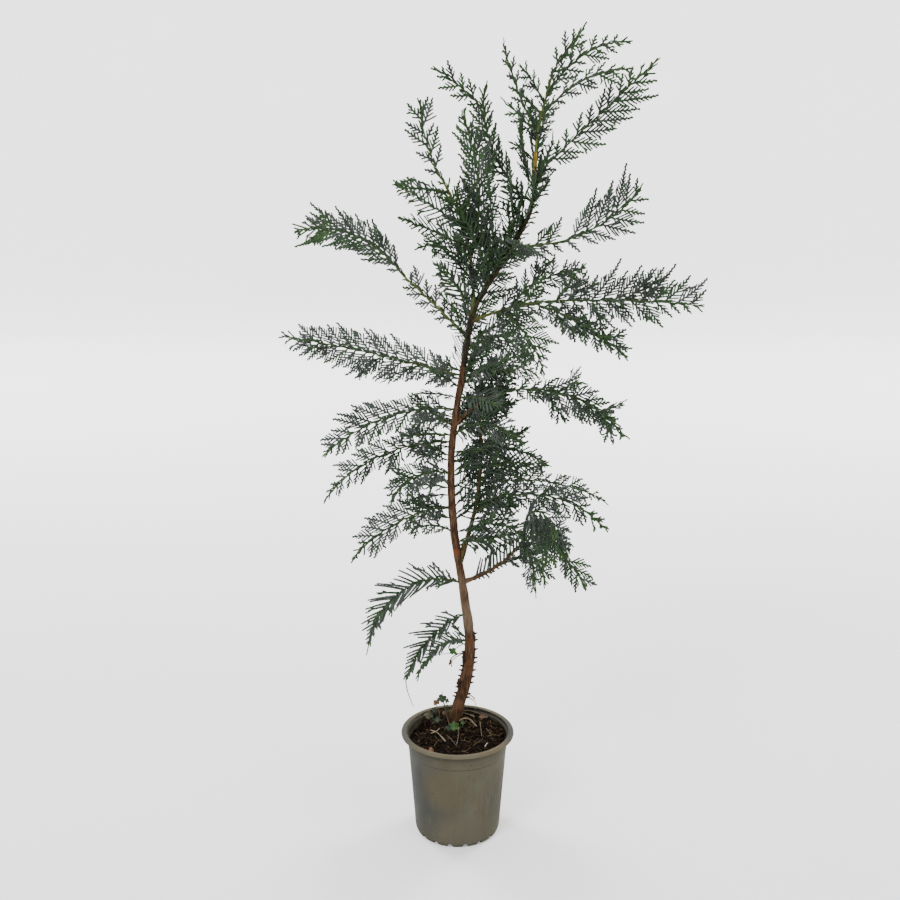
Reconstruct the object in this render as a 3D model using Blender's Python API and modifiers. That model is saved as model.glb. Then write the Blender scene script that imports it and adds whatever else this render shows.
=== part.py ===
"""A young leyland cypress in its nursery pot, 1.3 m tall.

Metres, +Z up. The origin is the centre of the pot's flat underside. +X is to the right and +Y is
away from someone who faces the plant. Each limb and each frond is an object of its own.
"""

import math
import random
from collections import namedtuple

import bmesh
import bpy
from mathutils import Matrix, Quaternion, Vector

GAP = 0.0003  # clearance between neighbouring solids
RIM_SPOTS = 8  # where round a foot's rim its clearance is measured
LEAVE_STEP = 0.0001
MERGE = 0.00001  # points closer than this are one

# The pot
POT_HEIGHT = 0.181
RIM_RADIUS = 0.095
LIP_WIDTH = 0.009
LIP_DEPTH = 0.0048
SHOULDER_DROP = 0.004  # from the lip's underside down to the neck
NECK_RADIUS = 0.0844
BAND_HEIGHT = 0.026  # plain band between the lip and the moulded step
BAND_TAPER = 0.0015
BAND_STEP = 0.0004
HEEL_RADIUS = 0.0722
HEEL_HEIGHT = 0.012
BASE_RADIUS = 0.0669
WALL = 0.0018
FLOOR = 0.007
FLOOR_RADIUS = 0.069
FOOT_NOTCHES = 17
NOTCH_WIDTH = 0.0045
NOTCH_HEIGHT = 0.0055
NOTCH_REACH = 0.0635  # how near the axis a notch comes
NOTCH_TURN = 0.25  # share of a pitch that the first notch is turned from +X
POT_STEPS = 34

# The compost
COMPOST_LEVEL = 0.171
COMPOST_DIP = 0.003  # how far it falls away at the wall
COMPOST_STEPS = 24

# The main stem: its bends as (right, away, height), its girth and its root flare
STEM_BENDS = (
    (-0.0065, 0.050, 0.171),
    (0.0136, 0.049, 0.245),
    (0.022, 0.048, 0.320),
    (0.008, 0.045, 0.425),
    (-0.006, 0.042, 0.520),
    (-0.011, 0.039, 0.610),
    (-0.007, 0.035, 0.690),
    (0.013, 0.030, 0.823),
    (0.028, 0.026, 0.893),
    (0.086, 0.020, 0.990),
    (0.113, 0.016, 1.052),
    (0.118, 0.011, 1.146),
    (0.136, 0.004, 1.231),
)
STEM_RADII = (0.0090, 0.0096, 0.0083, 0.0064, 0.0062, 0.0057, 0.0053,
              0.0044, 0.0041, 0.0038, 0.0034, 0.0020, 0.0012)  # at each bend
FLARE = 0.0028
FLARE_HEIGHT = 0.02
STEM_SEGMENT = 0.028
STEM_SIDES = 12

# Other limbs. "at" is the share of the carrier's length where a limb leaves it, "bearing" is
# 0 to the right, 90 away, 180 to the left and 270 to the front, and a limb bends evenly from
# its climb at the foot to its climb at the tip, all in degrees.
Limb = namedtuple("Limb", "name carrier at bearing length climb_foot climb_tip foot_radius tip_radius")
LIMBS = (
    Limb("second_stem", "trunk", 0.272, 18, 0.325, 69, 108, 0.0038, 0.0012),
    Limb("left_leader", "trunk", 0.654, 180, 0.196, 92, 58, 0.0026, 0.0012),
    Limb("bough_low_right", "trunk", 0.239, 340, 0.132, 22, 58, 0.0030, 0.0014),
    Limb("bough_mid_right", "trunk", 0.486, 342, 0.100, 50, 16, 0.0022, 0.0013),
    Limb("bough_high_right", "trunk", 0.644, 352, 0.110, 24, 8, 0.0024, 0.0014),
    Limb("bough_high_left", "trunk", 0.620, 165, 0.136, 44, 40, 0.0022, 0.0013),
    Limb("bough_top_right", "trunk", 0.767, 0, 0.070, 0, 12, 0.0016, 0.0012),
    Limb("bough_back", "trunk", 0.578, 82, 0.090, 40, 22, 0.0020, 0.0013),
)
LIMB_SEGMENT = 0.026
LIMB_SIDES = 8

# Fronds: flat sprays. "roll" turns the spray about its own stem, 0 lying flat and 90 on edge,
# and "upper" and "lower" are how far the side shoots on its two sides reach from the stem.
Frond = namedtuple("Frond", "name carrier at bearing length climb_foot climb_tip roll upper lower")
FRONDS = (
    Frond("frond_left_1", "trunk", 0.236, 205, 0.211, 27, -81, 112, 0.034, 0.030),
    Frond("frond_left_2", "trunk", 0.186, 215, 0.152, -6, -68, 118, 0.024, 0.020),
    Frond("frond_left_3", "trunk", 0.135, 230, 0.140, 35, -53, 120, 0.022, 0.020),
    Frond("frond_left_4", "trunk", 0.564, 162, 0.314, 12, 6, 104, 0.044, 0.044),
    Frond("frond_left_5", "trunk", 0.513, 200, 0.231, 9, -40, 110, 0.042, 0.032),
    Frond("frond_left_6", "trunk", 0.463, 172, 0.243, -1, -53, 112, 0.036, 0.034),
    Frond("frond_left_7", "trunk", 0.493, 140, 0.100, 4, -36, 96, 0.024, 0.022),
    Frond("frond_left_8", "trunk", 0.411, 225, 0.138, 26, -45, 118, 0.030, 0.028),
    Frond("frond_left_9", "trunk", 0.362, 208, 0.187, 3, -42, 108, 0.036, 0.030),
    Frond("frond_left_10", "trunk", 0.318, 158, 0.081, 28, -49, 94, 0.024, 0.022),
    Frond("frond_left_11", "bough_high_left", 1.0, 160, 0.212, 52, -14, 104, 0.038, 0.034),
    Frond("frond_leader_tip", "left_leader", 1.0, 168, 0.117, 61, 86, 96, 0.028, 0.026),
    Frond("frond_leader_1", "left_leader", 0.880, 212, 0.091, 2, 13, 106, 0.018, 0.016),
    Frond("frond_leader_2", "left_leader", 0.570, 152, 0.136, 33, 25, 100, 0.032, 0.024),
    Frond("frond_leader_3", "left_leader", 0.420, 208, 0.124, 24, 19, 112, 0.022, 0.018),
    Frond("frond_leader_4", "left_leader", 0.200, 225, 0.128, 50, -8, 116, 0.024, 0.020),
    Frond("frond_leader_5", "trunk", 0.632, 215, 0.102, 80, 40, 60, 0.026, 0.024),
    Frond("frond_leader_6", "left_leader", 0.340, 350, 0.211, 74, 116, 84, 0.030, 0.028),
    Frond("frond_centre_1", "trunk", 0.707, 140, 0.156, 92, 47, 70, 0.030, 0.030),
    Frond("frond_centre_2", "trunk", 0.721, 245, 0.155, 84, 72, 140, 0.030, 0.030),
    Frond("frond_top_1", "trunk", 1.0, 335, 0.082, 65, 42, 80, 0.020, 0.020),
    Frond("frond_top_2", "trunk", 0.972, 28, 0.178, 58, 0, 76, 0.022, 0.022),
    Frond("frond_top_3", "trunk", 0.948, 322, 0.162, 46, -4, 70, 0.022, 0.024),
    Frond("frond_top_4", "trunk", 0.869, 350, 0.237, 44, 42, 78, 0.026, 0.036),
    Frond("frond_top_5", "trunk", 0.833, 152, 0.199, 33, 98, 98, 0.024, 0.024),
    Frond("frond_top_6", "frond_top_5", 0.820, 200, 0.096, 43, 30, 100, 0.022, 0.022),
    Frond("frond_top_7", "trunk", 0.851, 222, 0.108, 55, 97, 120, 0.030, 0.028),
    Frond("frond_top_8", "trunk", 0.927, 140, 0.145, 54, 73, 96, 0.018, 0.014),
    Frond("frond_top_9", "trunk", 0.905, 75, 0.110, 36, 50, 30, 0.024, 0.024),
    Frond("frond_right_1", "bough_top_right", 1.0, 345, 0.144, 15, 52, 74, 0.056, 0.036),
    Frond("frond_right_2", "bough_high_right", 1.0, 346, 0.244, 5, -5, 64, 0.064, 0.038),
    Frond("frond_right_3", "bough_high_right", 0.50, 30, 0.158, 42, -2, 58, 0.034, 0.026),
    Frond("frond_right_4", "bough_high_right", 0.85, 325, 0.150, -8, -40, 60, 0.026, 0.032),
    Frond("frond_right_5", "bough_mid_right", 1.0, 338, 0.206, 15, -49, 64, 0.028, 0.036),
    Frond("frond_right_6", "trunk", 0.548, 35, 0.168, 32, -37, 60, 0.030, 0.028),
    Frond("frond_right_7", "second_stem", 0.360, 24, 0.251, 4, -31, 70, 0.028, 0.030),
    Frond("frond_right_8", "second_stem", 0.200, 335, 0.246, 42, -43, 66, 0.028, 0.034),
    Frond("frond_right_9", "second_stem", 0.100, 325, 0.115, 40, -34, 64, 0.030, 0.028),
    Frond("frond_right_10", "bough_low_right", 0.97, 292, 0.190, 86, -78, 60, 0.036, 0.042),
    Frond("frond_right_11", "bough_low_right", 0.90, 285, 0.110, 20, -88, 62, 0.024, 0.026),
    Frond("frond_right_12", "trunk", 0.472, 322, 0.140, 40, -42, 62, 0.028, 0.030),
    Frond("frond_right_13", "trunk", 0.437, 12, 0.160, 22, -36, 68, 0.026, 0.026),
    Frond("frond_right_14", "trunk", 0.596, 325, 0.137, 48, -56, 60, 0.026, 0.030),
    Frond("frond_back_1", "bough_back", 1.0, 85, 0.150, 22, -20, 30, 0.036, 0.036),
    Frond("frond_back_2", "second_stem", 0.560, 100, 0.170, 34, -24, 32, 0.034, 0.034),
    Frond("frond_back_3", "trunk", 0.387, 110, 0.150, 20, -40, 34, 0.032, 0.032),
    Frond("frond_back_4", "trunk", 0.689, 75, 0.160, 44, 16, 30, 0.034, 0.034),
    Frond("frond_front_1", "bough_high_right", 0.30, 298, 0.172, 4, -60, 50, 0.036, 0.036),
    Frond("frond_front_2", "trunk", 0.744, 285, 0.130, 30, -10, 148, 0.030, 0.030),
)
RACHIS_RADIUS = 0.0008
RACHIS_GROWTH = 0.0028  # how much thicker the stem's foot is for each metre of frond
RACHIS_TIP_RADIUS = 0.0005
RACHIS_SEGMENT = 0.030

# Side shoots, which alternate left and right along a frond
SHOOT_SPACING = 0.0125
FIRST_SHOOT = 0.014
SHOOT_ANGLE_FOOT = 52
SHOOT_ANGLE_TIP = 36
SHOOT_DROOP = 0.10
SHOOT_SHORTEST = 0.009
SPACING_SPREAD = 0.15  # chance part of a shoot's place, as a share of the spacing
ANGLE_SPREAD = 5
LENGTH_SPREAD = (0.85, 1.1)
REACH_AT_FOOT = 0.6  # of the frond's width; it grows from there at REACH_GROWTH
REACH_GROWTH = 1.4
REACH_AT_TIP = 0.12  # and it shrinks to this at REACH_FALL
REACH_FALL = 2.4
BLADE_SHAPE = 0.095  # half width as a share of the length
BLADE_WIDEST = 0.38  # where along the blade it is widest
BLADE_MIN_WIDTH = 0.0016
BLADE_THICKNESS = 0.0007
BLADE_LEAST_SHARE = 0.01  # no blade is thinner than this share of its length
BLADE_SHRINK = 0.8  # a blade that would touch something is shortened by this until it doesn't
BLADE_END_RADIUS = 0.0005
BLADE_ROOT = 0.002  # the stretch of a blade that lies in its own stem
LEAF_CLEARANCE = 0.0008

# Colour, roughness and metallic value of each material
FINISHES = {
    "pot_grey": ((0.125, 0.115, 0.090), 0.62, 0.0),
    "compost": ((0.030, 0.018, 0.009), 0.95, 0.0),
    "bark": ((0.150, 0.070, 0.038), 0.85, 0.0),
    "young_bark": ((0.150, 0.120, 0.030), 0.70, 0.0),
    "foliage": ((0.022, 0.052, 0.026), 0.60, 0.0),
}


def clear_scene():
    for item in list(bpy.data.objects):
        bpy.data.objects.remove(item, do_unlink=True)


def new_collection(name):
    collection = bpy.data.collections.new(name)
    bpy.context.scene.collection.children.link(collection)
    return collection


def make_materials():
    materials = {}
    for name, (colour, roughness, metallic) in FINISHES.items():
        material = bpy.data.materials.new(name)
        material.use_nodes = True
        shader = material.node_tree.nodes["Principled BSDF"]
        shader.inputs["Base Color"].default_value = (*colour, 1.0)
        shader.inputs["Roughness"].default_value = roughness
        shader.inputs["Metallic"].default_value = metallic
        materials[name] = material
    return materials


def add_object(name, data, collection, material=None):
    item = bpy.data.objects.new(name, data)
    collection.objects.link(item)
    if material is not None:
        data.materials.clear()
        data.materials.append(material)
    return item


def mesh_from_bmesh(name, bm):
    mesh = bpy.data.meshes.new(name)
    bm.to_mesh(mesh)
    bm.free()
    return mesh


def evaluated_mesh(item):
    graph = bpy.context.evaluated_depsgraph_get()
    return bpy.data.meshes.new_from_object(item.evaluated_get(graph))


# Paths


class Path:
    """A tapering route: its points, the radius at each, and the share of its length at each."""

    def __init__(self, points, radii):
        self.points = points
        self.radii = radii
        steps = [(b - a).length for a, b in zip(points, points[1:])]
        self.length = sum(steps)
        self.shares = [0.0]
        for step in steps:
            self.shares.append(self.shares[-1] + step / self.length)

    def at(self, share):
        """Return the point, direction and radius at a share of the length."""
        last = len(self.points) - 2
        index = next((i for i in range(last) if self.shares[i + 1] > share), last)
        start, end = self.points[index], self.points[index + 1]
        span = self.shares[index + 1] - self.shares[index]
        part = (share - self.shares[index]) / span
        radius = self.radii[index] + (self.radii[index + 1] - self.radii[index]) * part
        return start.lerp(end, part), (end - start).normalized(), radius

    def clearance(self, spot):
        """How far a spot is outside the surface."""
        nearest = math.inf
        sections = zip(self.points, self.points[1:], self.radii, self.radii[1:])
        for start, end, start_radius, end_radius in sections:
            span = end - start
            part = min(1.0, max(0.0, (spot - start).dot(span) / span.length_squared))
            radius = start_radius + (end_radius - start_radius) * part
            nearest = min(nearest, (spot - start - span * part).length - radius)
        return nearest


def heading(bearing, climb):
    """Unit vector for a bearing and a climb in degrees."""
    turn, rise = math.radians(bearing), math.radians(climb)
    return Vector((math.cos(rise) * math.cos(turn), math.cos(rise) * math.sin(turn), math.sin(rise)))


def bend(start, row, segment, foot_radius, tip_radius):
    """Path of a limb or frond that bends evenly from its foot climb to its tip climb."""
    count = max(2, round(row.length / segment))
    points, radii = [start], [foot_radius]
    for step in range(count):
        share = (step + 0.5) / count
        climb = row.climb_foot + (row.climb_tip - row.climb_foot) * share
        points.append(points[-1] + heading(row.bearing, climb) * (row.length / count))
        radii.append(foot_radius + (tip_radius - foot_radius) * (step + 1) / count)
    return Path(points, radii)


def leave(carrier, row, foot_radius):
    """Where a limb or frond starts, so that its foot's rim is just clear of its carrier."""
    foot, along, radius = carrier.at(row.at)
    way = heading(row.bearing, row.climb_foot)
    if row.at == 1.0:
        return foot + way * (GAP + (foot_radius + radius) * math.sin(way.angle(along)))
    across = way.orthogonal().normalized() * foot_radius
    rim = [Quaternion(way, math.tau * step / RIM_SPOTS) @ across for step in range(RIM_SPOTS)]
    while min(carrier.clearance(foot + spot) for spot in rim) < GAP:
        foot = foot + way * LEAVE_STEP
    return foot


def smooth_route(bends, segment):
    """Points on a smooth curve through the bends, about a segment apart."""
    knots = [Vector(b) for b in bends]
    knots = [2 * knots[0] - knots[1]] + knots + [2 * knots[-1] - knots[-2]]
    points = []
    for before, start, end, after in zip(knots, knots[1:], knots[2:], knots[3:]):
        count = max(1, round((end - start).length / segment))
        for step in range(count):
            t = step / count
            curve = 2 * start + (end - before) * t
            curve += (2 * before - 5 * start + 4 * end - after) * t**2
            curve += (3 * start - before - 3 * end + after) * t**3
            points.append(curve / 2)
    points.append(knots[-2])
    return points


def stem_radius(height):
    """The radius between two bends, with the root flare added."""
    heights = [bend_at[2] for bend_at in STEM_BENDS]
    low = next((i for i, top in enumerate(heights[1:-1]) if height < top), len(heights) - 2)
    part = (height - heights[low]) / (heights[low + 1] - heights[low])
    radius = STEM_RADII[low] + (STEM_RADII[low + 1] - STEM_RADII[low]) * part
    return radius + FLARE * math.exp((heights[0] - height) / FLARE_HEIGHT)


def trunk_path():
    """The main stem, which starts upright so that its foot is cut flat."""
    points = smooth_route(STEM_BENDS, STEM_SEGMENT)
    foot = points[0] + Vector((0, 0, GAP))
    points = [foot, foot + Vector((0, 0, FLARE_HEIGHT / 6))] + points[1:]
    return Path(points, [stem_radius(point.z) for point in points])


# What each solid fills, so that later leaves keep clear of it


class Space:
    """Balls strung along every path so far, kept by the cell of space that they lie in."""

    SAMPLE = 0.003
    CELL = 0.02

    def __init__(self):
        self.cells = {}

    def samples(self, path):
        count = max(2, math.ceil(path.length / self.SAMPLE))
        for step in range(count + 1):
            point, _, radius = path.at(step / count)
            yield point, radius

    def key(self, point):
        return tuple(math.floor(c / self.CELL) for c in point)

    def add(self, path, owner):
        for point, radius in self.samples(path):
            self.cells.setdefault(self.key(point), []).append((point, radius, owner))

    def is_clear(self, path, owner):
        for point, radius in self.samples(path):
            x, y, z = self.key(point)
            for i in (x - 1, x, x + 1):
                for j in (y - 1, y, y + 1):
                    for k in (z - 1, z, z + 1):
                        for other, other_radius, name in self.cells.get((i, j, k), ()):
                            room = radius + other_radius + LEAF_CLEARANCE
                            if name != owner and (other - point).length < room:
                                return False
        return True


# Solids


def tube_mesh(name, path, sides=None, section=None):
    """Closed mesh of a tapering tube with filled ends, round or with its own section."""
    curve = bpy.data.curves.new(name, "CURVE")
    curve.dimensions = "3D"
    curve.use_fill_caps = True
    if section is None:
        curve.bevel_depth = 1.0
        curve.bevel_resolution = (sides - 4) // 2
    else:
        curve.bevel_mode = "OBJECT"
        curve.bevel_object = section
    spline = curve.splines.new("POLY")
    spline.points.add(len(path.points) - 1)
    for knot, point, radius in zip(spline.points, path.points, path.radii):
        knot.co = (*point, 1.0)
        knot.radius = radius
    item = add_object(name, curve, bpy.context.scene.collection)
    mesh = evaluated_mesh(item)
    bpy.data.objects.remove(item)
    bpy.data.curves.remove(curve)
    bm = bmesh.new()
    bm.from_mesh(mesh)
    bpy.data.meshes.remove(mesh)
    bmesh.ops.remove_doubles(bm, verts=bm.verts, dist=MERGE)
    bmesh.ops.recalc_face_normals(bm, faces=bm.faces)
    return mesh_from_bmesh(name, bm)


def twig_section(collection):
    """Three-sided outline of unit radius, which the fronds' stems are swept along."""
    curve = bpy.data.curves.new("twig_section", "CURVE")
    curve.dimensions = "2D"
    curve.fill_mode = "NONE"
    spline = curve.splines.new("POLY")
    spline.points.add(2)
    spline.use_cyclic_u = True
    for index, knot in enumerate(spline.points):
        turn = math.tau * index / 3
        knot.co = (math.cos(turn), math.sin(turn), 0.0, 1.0)
    item = add_object("twig_section", curve, collection)
    item.hide_render = True
    item.display_type = "WIRE"
    return item


def blade_mesh(name, foot, way, flat, length, half_width):
    """Eight-faced leaf spray: its foot and tip are poles, widest nearer the foot."""
    bm = bmesh.new()
    bmesh.ops.create_uvsphere(bm, u_segments=4, v_segments=2, radius=1.0)
    for vert in bm.verts:
        if abs(vert.co.z) < 0.5:
            vert.co.z = 2 * BLADE_WIDEST - 1
        vert.co = Vector((vert.co.x, vert.co.y, (vert.co.z + 1) / 2))
    across = flat - way * flat.dot(way)
    across.normalize()
    thickness = max(BLADE_THICKNESS, BLADE_LEAST_SHARE * length)
    columns = (across * half_width, way.cross(across) * thickness, way * length)
    turn = Matrix(columns).transposed().to_4x4()
    bmesh.ops.transform(bm, matrix=Matrix.Translation(foot) @ turn, verts=bm.verts)
    bmesh.ops.recalc_face_normals(bm, faces=bm.faces)
    return mesh_from_bmesh(name, bm)


def fuse(item, pieces):
    """Join the pieces' solids to the item with one union, applied, and remove the pieces."""
    union = item.modifiers.new("union", "BOOLEAN")
    union.operation = "UNION"
    union.operand_type = "COLLECTION"
    union.collection = pieces
    union.solver = "EXACT"
    mesh = evaluated_mesh(item)
    item.modifiers.remove(union)
    item.data = mesh
    for piece in list(pieces.objects):
        leftover = piece.data
        bpy.data.objects.remove(piece)
        bpy.data.meshes.remove(leftover)


# Pot and compost


def turned(name, profile, steps, collection, material):
    """Object made by turning a profile of (radius, height) about Z with a Screw modifier."""
    bm = bmesh.new()
    verts = [bm.verts.new((radius, 0.0, height)) for radius, height in profile]
    for pair in zip(verts, verts[1:]):
        bm.edges.new(pair)
    item = add_object(name, mesh_from_bmesh(name, bm), collection, material)
    screw = item.modifiers.new("turn", "SCREW")
    screw.steps = steps
    screw.render_steps = steps
    screw.use_merge_vertices = True
    screw.merge_threshold = MERGE
    screw.use_smooth_shade = True
    return item


def pot_profile():
    """From the middle of the floor up the inside, over the lip and down the outside."""
    lip_under = POT_HEIGHT - LIP_DEPTH
    shoulder = lip_under - SHOULDER_DROP
    step_height = lip_under - BAND_HEIGHT
    step_radius = NECK_RADIUS - BAND_TAPER
    return (
        (0.0, FLOOR),
        (FLOOR_RADIUS, FLOOR),
        (NECK_RADIUS - WALL, shoulder),
        (RIM_RADIUS - LIP_WIDTH, POT_HEIGHT - WALL),
        (RIM_RADIUS - 0.8 * LIP_WIDTH, POT_HEIGHT),
        (RIM_RADIUS - 0.15 * LIP_WIDTH, POT_HEIGHT),
        (RIM_RADIUS, POT_HEIGHT - 0.3 * LIP_DEPTH),
        (RIM_RADIUS, lip_under),
        (RIM_RADIUS - LIP_WIDTH + 1.1 * WALL, lip_under),
        (NECK_RADIUS, shoulder - WALL),
        (step_radius, step_height),
        (step_radius - BAND_STEP, step_height - BAND_STEP),
        (HEEL_RADIUS, HEEL_HEIGHT),
        (BASE_RADIUS, 0.0),
        (0.0, 0.0),
    )


def notch_cutter(index, collection):
    """A radial slot through the pot's heel."""
    depth = RIM_RADIUS - NOTCH_REACH
    bm = bmesh.new()
    bmesh.ops.create_cube(bm, size=1.0)
    bmesh.ops.scale(bm, vec=(depth, NOTCH_WIDTH, 2 * NOTCH_HEIGHT), verts=bm.verts)
    bmesh.ops.translate(bm, vec=(NOTCH_REACH + depth / 2, 0, 0), verts=bm.verts)
    name = f"notch_{index + 1}"
    cutter = add_object(name, mesh_from_bmesh(name, bm), collection)
    cutter.rotation_euler = (0, 0, math.tau * (index + NOTCH_TURN) / FOOT_NOTCHES)
    cutter.hide_render = True
    cutter.display_type = "WIRE"


def make_pot(collection, cutters, material):
    pot = turned("pot", pot_profile(), POT_STEPS, collection, material)
    for index in range(FOOT_NOTCHES):
        notch_cutter(index, cutters)
    cut = pot.modifiers.new("drain notches", "BOOLEAN")
    cut.operation = "DIFFERENCE"
    cut.operand_type = "COLLECTION"
    cut.collection = cutters
    cut.solver = "EXACT"


def make_compost(collection, material):
    """A plug that follows the pot's inside wall a gap away."""
    neck = POT_HEIGHT - LIP_DEPTH - SHOULDER_DROP
    edge_height = COMPOST_LEVEL - COMPOST_DIP
    slope = (NECK_RADIUS - WALL - FLOOR_RADIUS) / (neck - FLOOR)
    edge = FLOOR_RADIUS + slope * (edge_height - FLOOR) - 2 * GAP
    profile = (
        (0.0, COMPOST_LEVEL),
        (edge - 3 * COMPOST_DIP, COMPOST_LEVEL),
        (edge, edge_height),
        (FLOOR_RADIUS - 2 * GAP, FLOOR + GAP),
        (0.0, FLOOR + GAP),
    )
    turned("compost", profile, COMPOST_STEPS, collection, material)


# Limbs and fronds


def make_limbs(collection, materials, space):
    """The trunk, and every limb that leaves it, each a tapering tube."""
    paths = {"trunk": trunk_path()}
    for row in LIMBS:
        start = leave(paths[row.carrier], row, row.foot_radius)
        paths[row.name] = bend(start, row, LIMB_SEGMENT, row.foot_radius, row.tip_radius)
    for name, path in paths.items():
        sides = STEM_SIDES if name == "trunk" else LIMB_SIDES
        mesh = tube_mesh(name, path, sides)
        mesh.shade_smooth()
        material = materials["young_bark" if "high" in name or "top" in name else "bark"]
        add_object(name, mesh, collection, material)
        space.add(path, name)
    return paths


def frond_path(row, paths):
    foot_radius = RACHIS_RADIUS + RACHIS_GROWTH * row.length
    start = leave(paths[row.carrier], row, foot_radius)
    return bend(start, row, RACHIS_SEGMENT, foot_radius, RACHIS_TIP_RADIUS)


def reach_share(share):
    """How much of the frond's width its side shoots reach at a share of its length."""
    opening = min(1.0, REACH_AT_FOOT + REACH_GROWTH * share)
    closing = min(1.0, REACH_AT_TIP + REACH_FALL * (1.0 - share))
    return opening * closing


def side_shoots(row, path, spacing, dice):
    """Yield the foot, direction and length of each side shoot, in the frond's plane."""
    count = int((path.length - FIRST_SHOOT) / spacing)
    for index in range(count):
        place = index + dice.uniform(-SPACING_SPREAD, SPACING_SPREAD)
        share = (FIRST_SHOOT + spacing * place) / path.length
        foot, along, _ = path.at(share)
        level = Vector((-math.sin(math.radians(row.bearing)), math.cos(math.radians(row.bearing)), 0))
        spread = Quaternion(along, math.radians(row.roll)) @ (level - along * level.dot(along))
        side = 1 if index % 2 else -1
        angle = SHOOT_ANGLE_FOOT + (SHOOT_ANGLE_TIP - SHOOT_ANGLE_FOOT) * share
        lean = math.radians(angle + dice.uniform(-ANGLE_SPREAD, ANGLE_SPREAD))
        way = along * math.cos(lean) + spread * (side * math.sin(lean))
        way.z -= SHOOT_DROOP
        width = row.upper if side * spread.z > 0 else row.lower
        length = width * reach_share(share) / math.sin(lean) * dice.uniform(*LENGTH_SPREAD)
        yield foot, way.normalized(), spread, length


def blade_body(foot, way, length):
    """What a blade fills: a path from its root past its widest place to its tip."""
    half_width = max(BLADE_MIN_WIDTH, BLADE_SHAPE * length)
    stations = (BLADE_ROOT, BLADE_WIDEST * length, length)
    return Path([foot + way * s for s in stations], [BLADE_END_RADIUS, half_width, BLADE_END_RADIUS])


def make_frond(row, path, collection, material, section, space):
    """One frond: a three-sided stem with flat leaf sprays fused on, which keeps to its space."""
    dice = random.Random(row.name)
    mesh = tube_mesh(row.name, path, section=section)
    frond = add_object(row.name, mesh, collection, material)
    sprays = new_collection(row.name + "_sprays")
    for index, shoot in enumerate(side_shoots(row, path, SHOOT_SPACING, dice)):
        foot, way, spread, length = shoot
        body = blade_body(foot, way, length)
        while length > SHOOT_SHORTEST and not space.is_clear(body, row.name):
            length *= BLADE_SHRINK
            body = blade_body(foot, way, length)
        if length <= SHOOT_SHORTEST:
            continue
        space.add(body, row.name)
        name = f"{row.name}_spray_{index}"
        blade = blade_mesh(name, foot, way, spread, length, body.radii[1])
        add_object(name, blade, sprays)
    fuse(frond, sprays)
    bpy.data.collections.remove(sprays)
    frond.data.materials.clear()
    frond.data.materials.append(material)


def make_fronds(collection, guides, paths, material, space):
    section = twig_section(guides)
    routes = dict(paths)
    for row in FRONDS:
        routes[row.name] = frond_path(row, routes)
        space.add(routes[row.name], row.name)
    for row in FRONDS:
        make_frond(row, routes[row.name], collection, material, section, space)


def main():
    clear_scene()
    materials = make_materials()
    plant = new_collection("potted_leyland_cypress")
    cutters = new_collection("pot_cutters")
    guides = new_collection("guides")
    space = Space()
    make_compost(plant, materials["compost"])
    paths = make_limbs(plant, materials, space)
    make_fronds(plant, guides, paths, materials["foliage"], space)
    make_pot(plant, cutters, materials["pot_grey"])


main()
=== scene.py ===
"""Looks of a young leyland cypress in its nursery pot.

Metres, +Z up. The origin is the centre of the pot's flat underside. +X is to the right and +Y is
away from someone who faces the plant. The limbs and fronds follow the same rows and the same rule
as the solids, and are carried on to finer twigs within the same reach.
"""

import math
import random
from collections import defaultdict, namedtuple

import bpy
import numpy as np
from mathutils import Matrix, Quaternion, Vector, noise


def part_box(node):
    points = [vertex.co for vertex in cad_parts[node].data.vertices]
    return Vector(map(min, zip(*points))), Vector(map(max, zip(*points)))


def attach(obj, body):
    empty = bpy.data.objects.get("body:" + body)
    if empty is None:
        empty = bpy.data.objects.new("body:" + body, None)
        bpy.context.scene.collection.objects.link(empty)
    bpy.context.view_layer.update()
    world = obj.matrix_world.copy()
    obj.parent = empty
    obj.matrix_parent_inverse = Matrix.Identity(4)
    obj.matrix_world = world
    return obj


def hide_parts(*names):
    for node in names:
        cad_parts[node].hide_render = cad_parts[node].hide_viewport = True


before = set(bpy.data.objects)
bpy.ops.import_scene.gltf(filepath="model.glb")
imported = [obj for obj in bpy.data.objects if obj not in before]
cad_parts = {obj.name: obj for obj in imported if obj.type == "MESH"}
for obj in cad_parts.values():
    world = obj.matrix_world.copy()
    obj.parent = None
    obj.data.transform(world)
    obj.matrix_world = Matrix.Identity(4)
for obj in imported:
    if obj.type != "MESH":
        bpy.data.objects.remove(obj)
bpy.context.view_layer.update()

GAP = 0.0003
BODY = "root"

# The pot
POT_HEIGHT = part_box("pot")[1].z
RIM_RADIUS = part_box("pot")[1].x
LIP_WIDTH = 0.009
LIP_DEPTH = 0.0048
SHOULDER_DROP = 0.004
NECK_RADIUS = 0.0844
BAND_HEIGHT = 0.026
BAND_TAPER = 0.0015
BAND_STEP = 0.0004
HEEL_RADIUS = 0.0722
HEEL_HEIGHT = 0.012
BASE_RADIUS = 0.0669
WALL = 0.0018
FLOOR = 0.007
FLOOR_RADIUS = 0.069
FOOT_NOTCHES = 17
NOTCH_WIDTH = 0.0085
NOTCH_HEIGHT = 0.0072
NOTCH_REACH = 0.056
NOTCH_TURN = 0.25
STEPS_PER_NOTCH = 24
SHARP_EDGE = 32  # degrees between faces that meet in a crisp edge
BEVEL = 0.0006  # short slants that soften its edges
LIP_TOP = 0.0012  # how far below the top the stained and shaded inside begins
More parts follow.
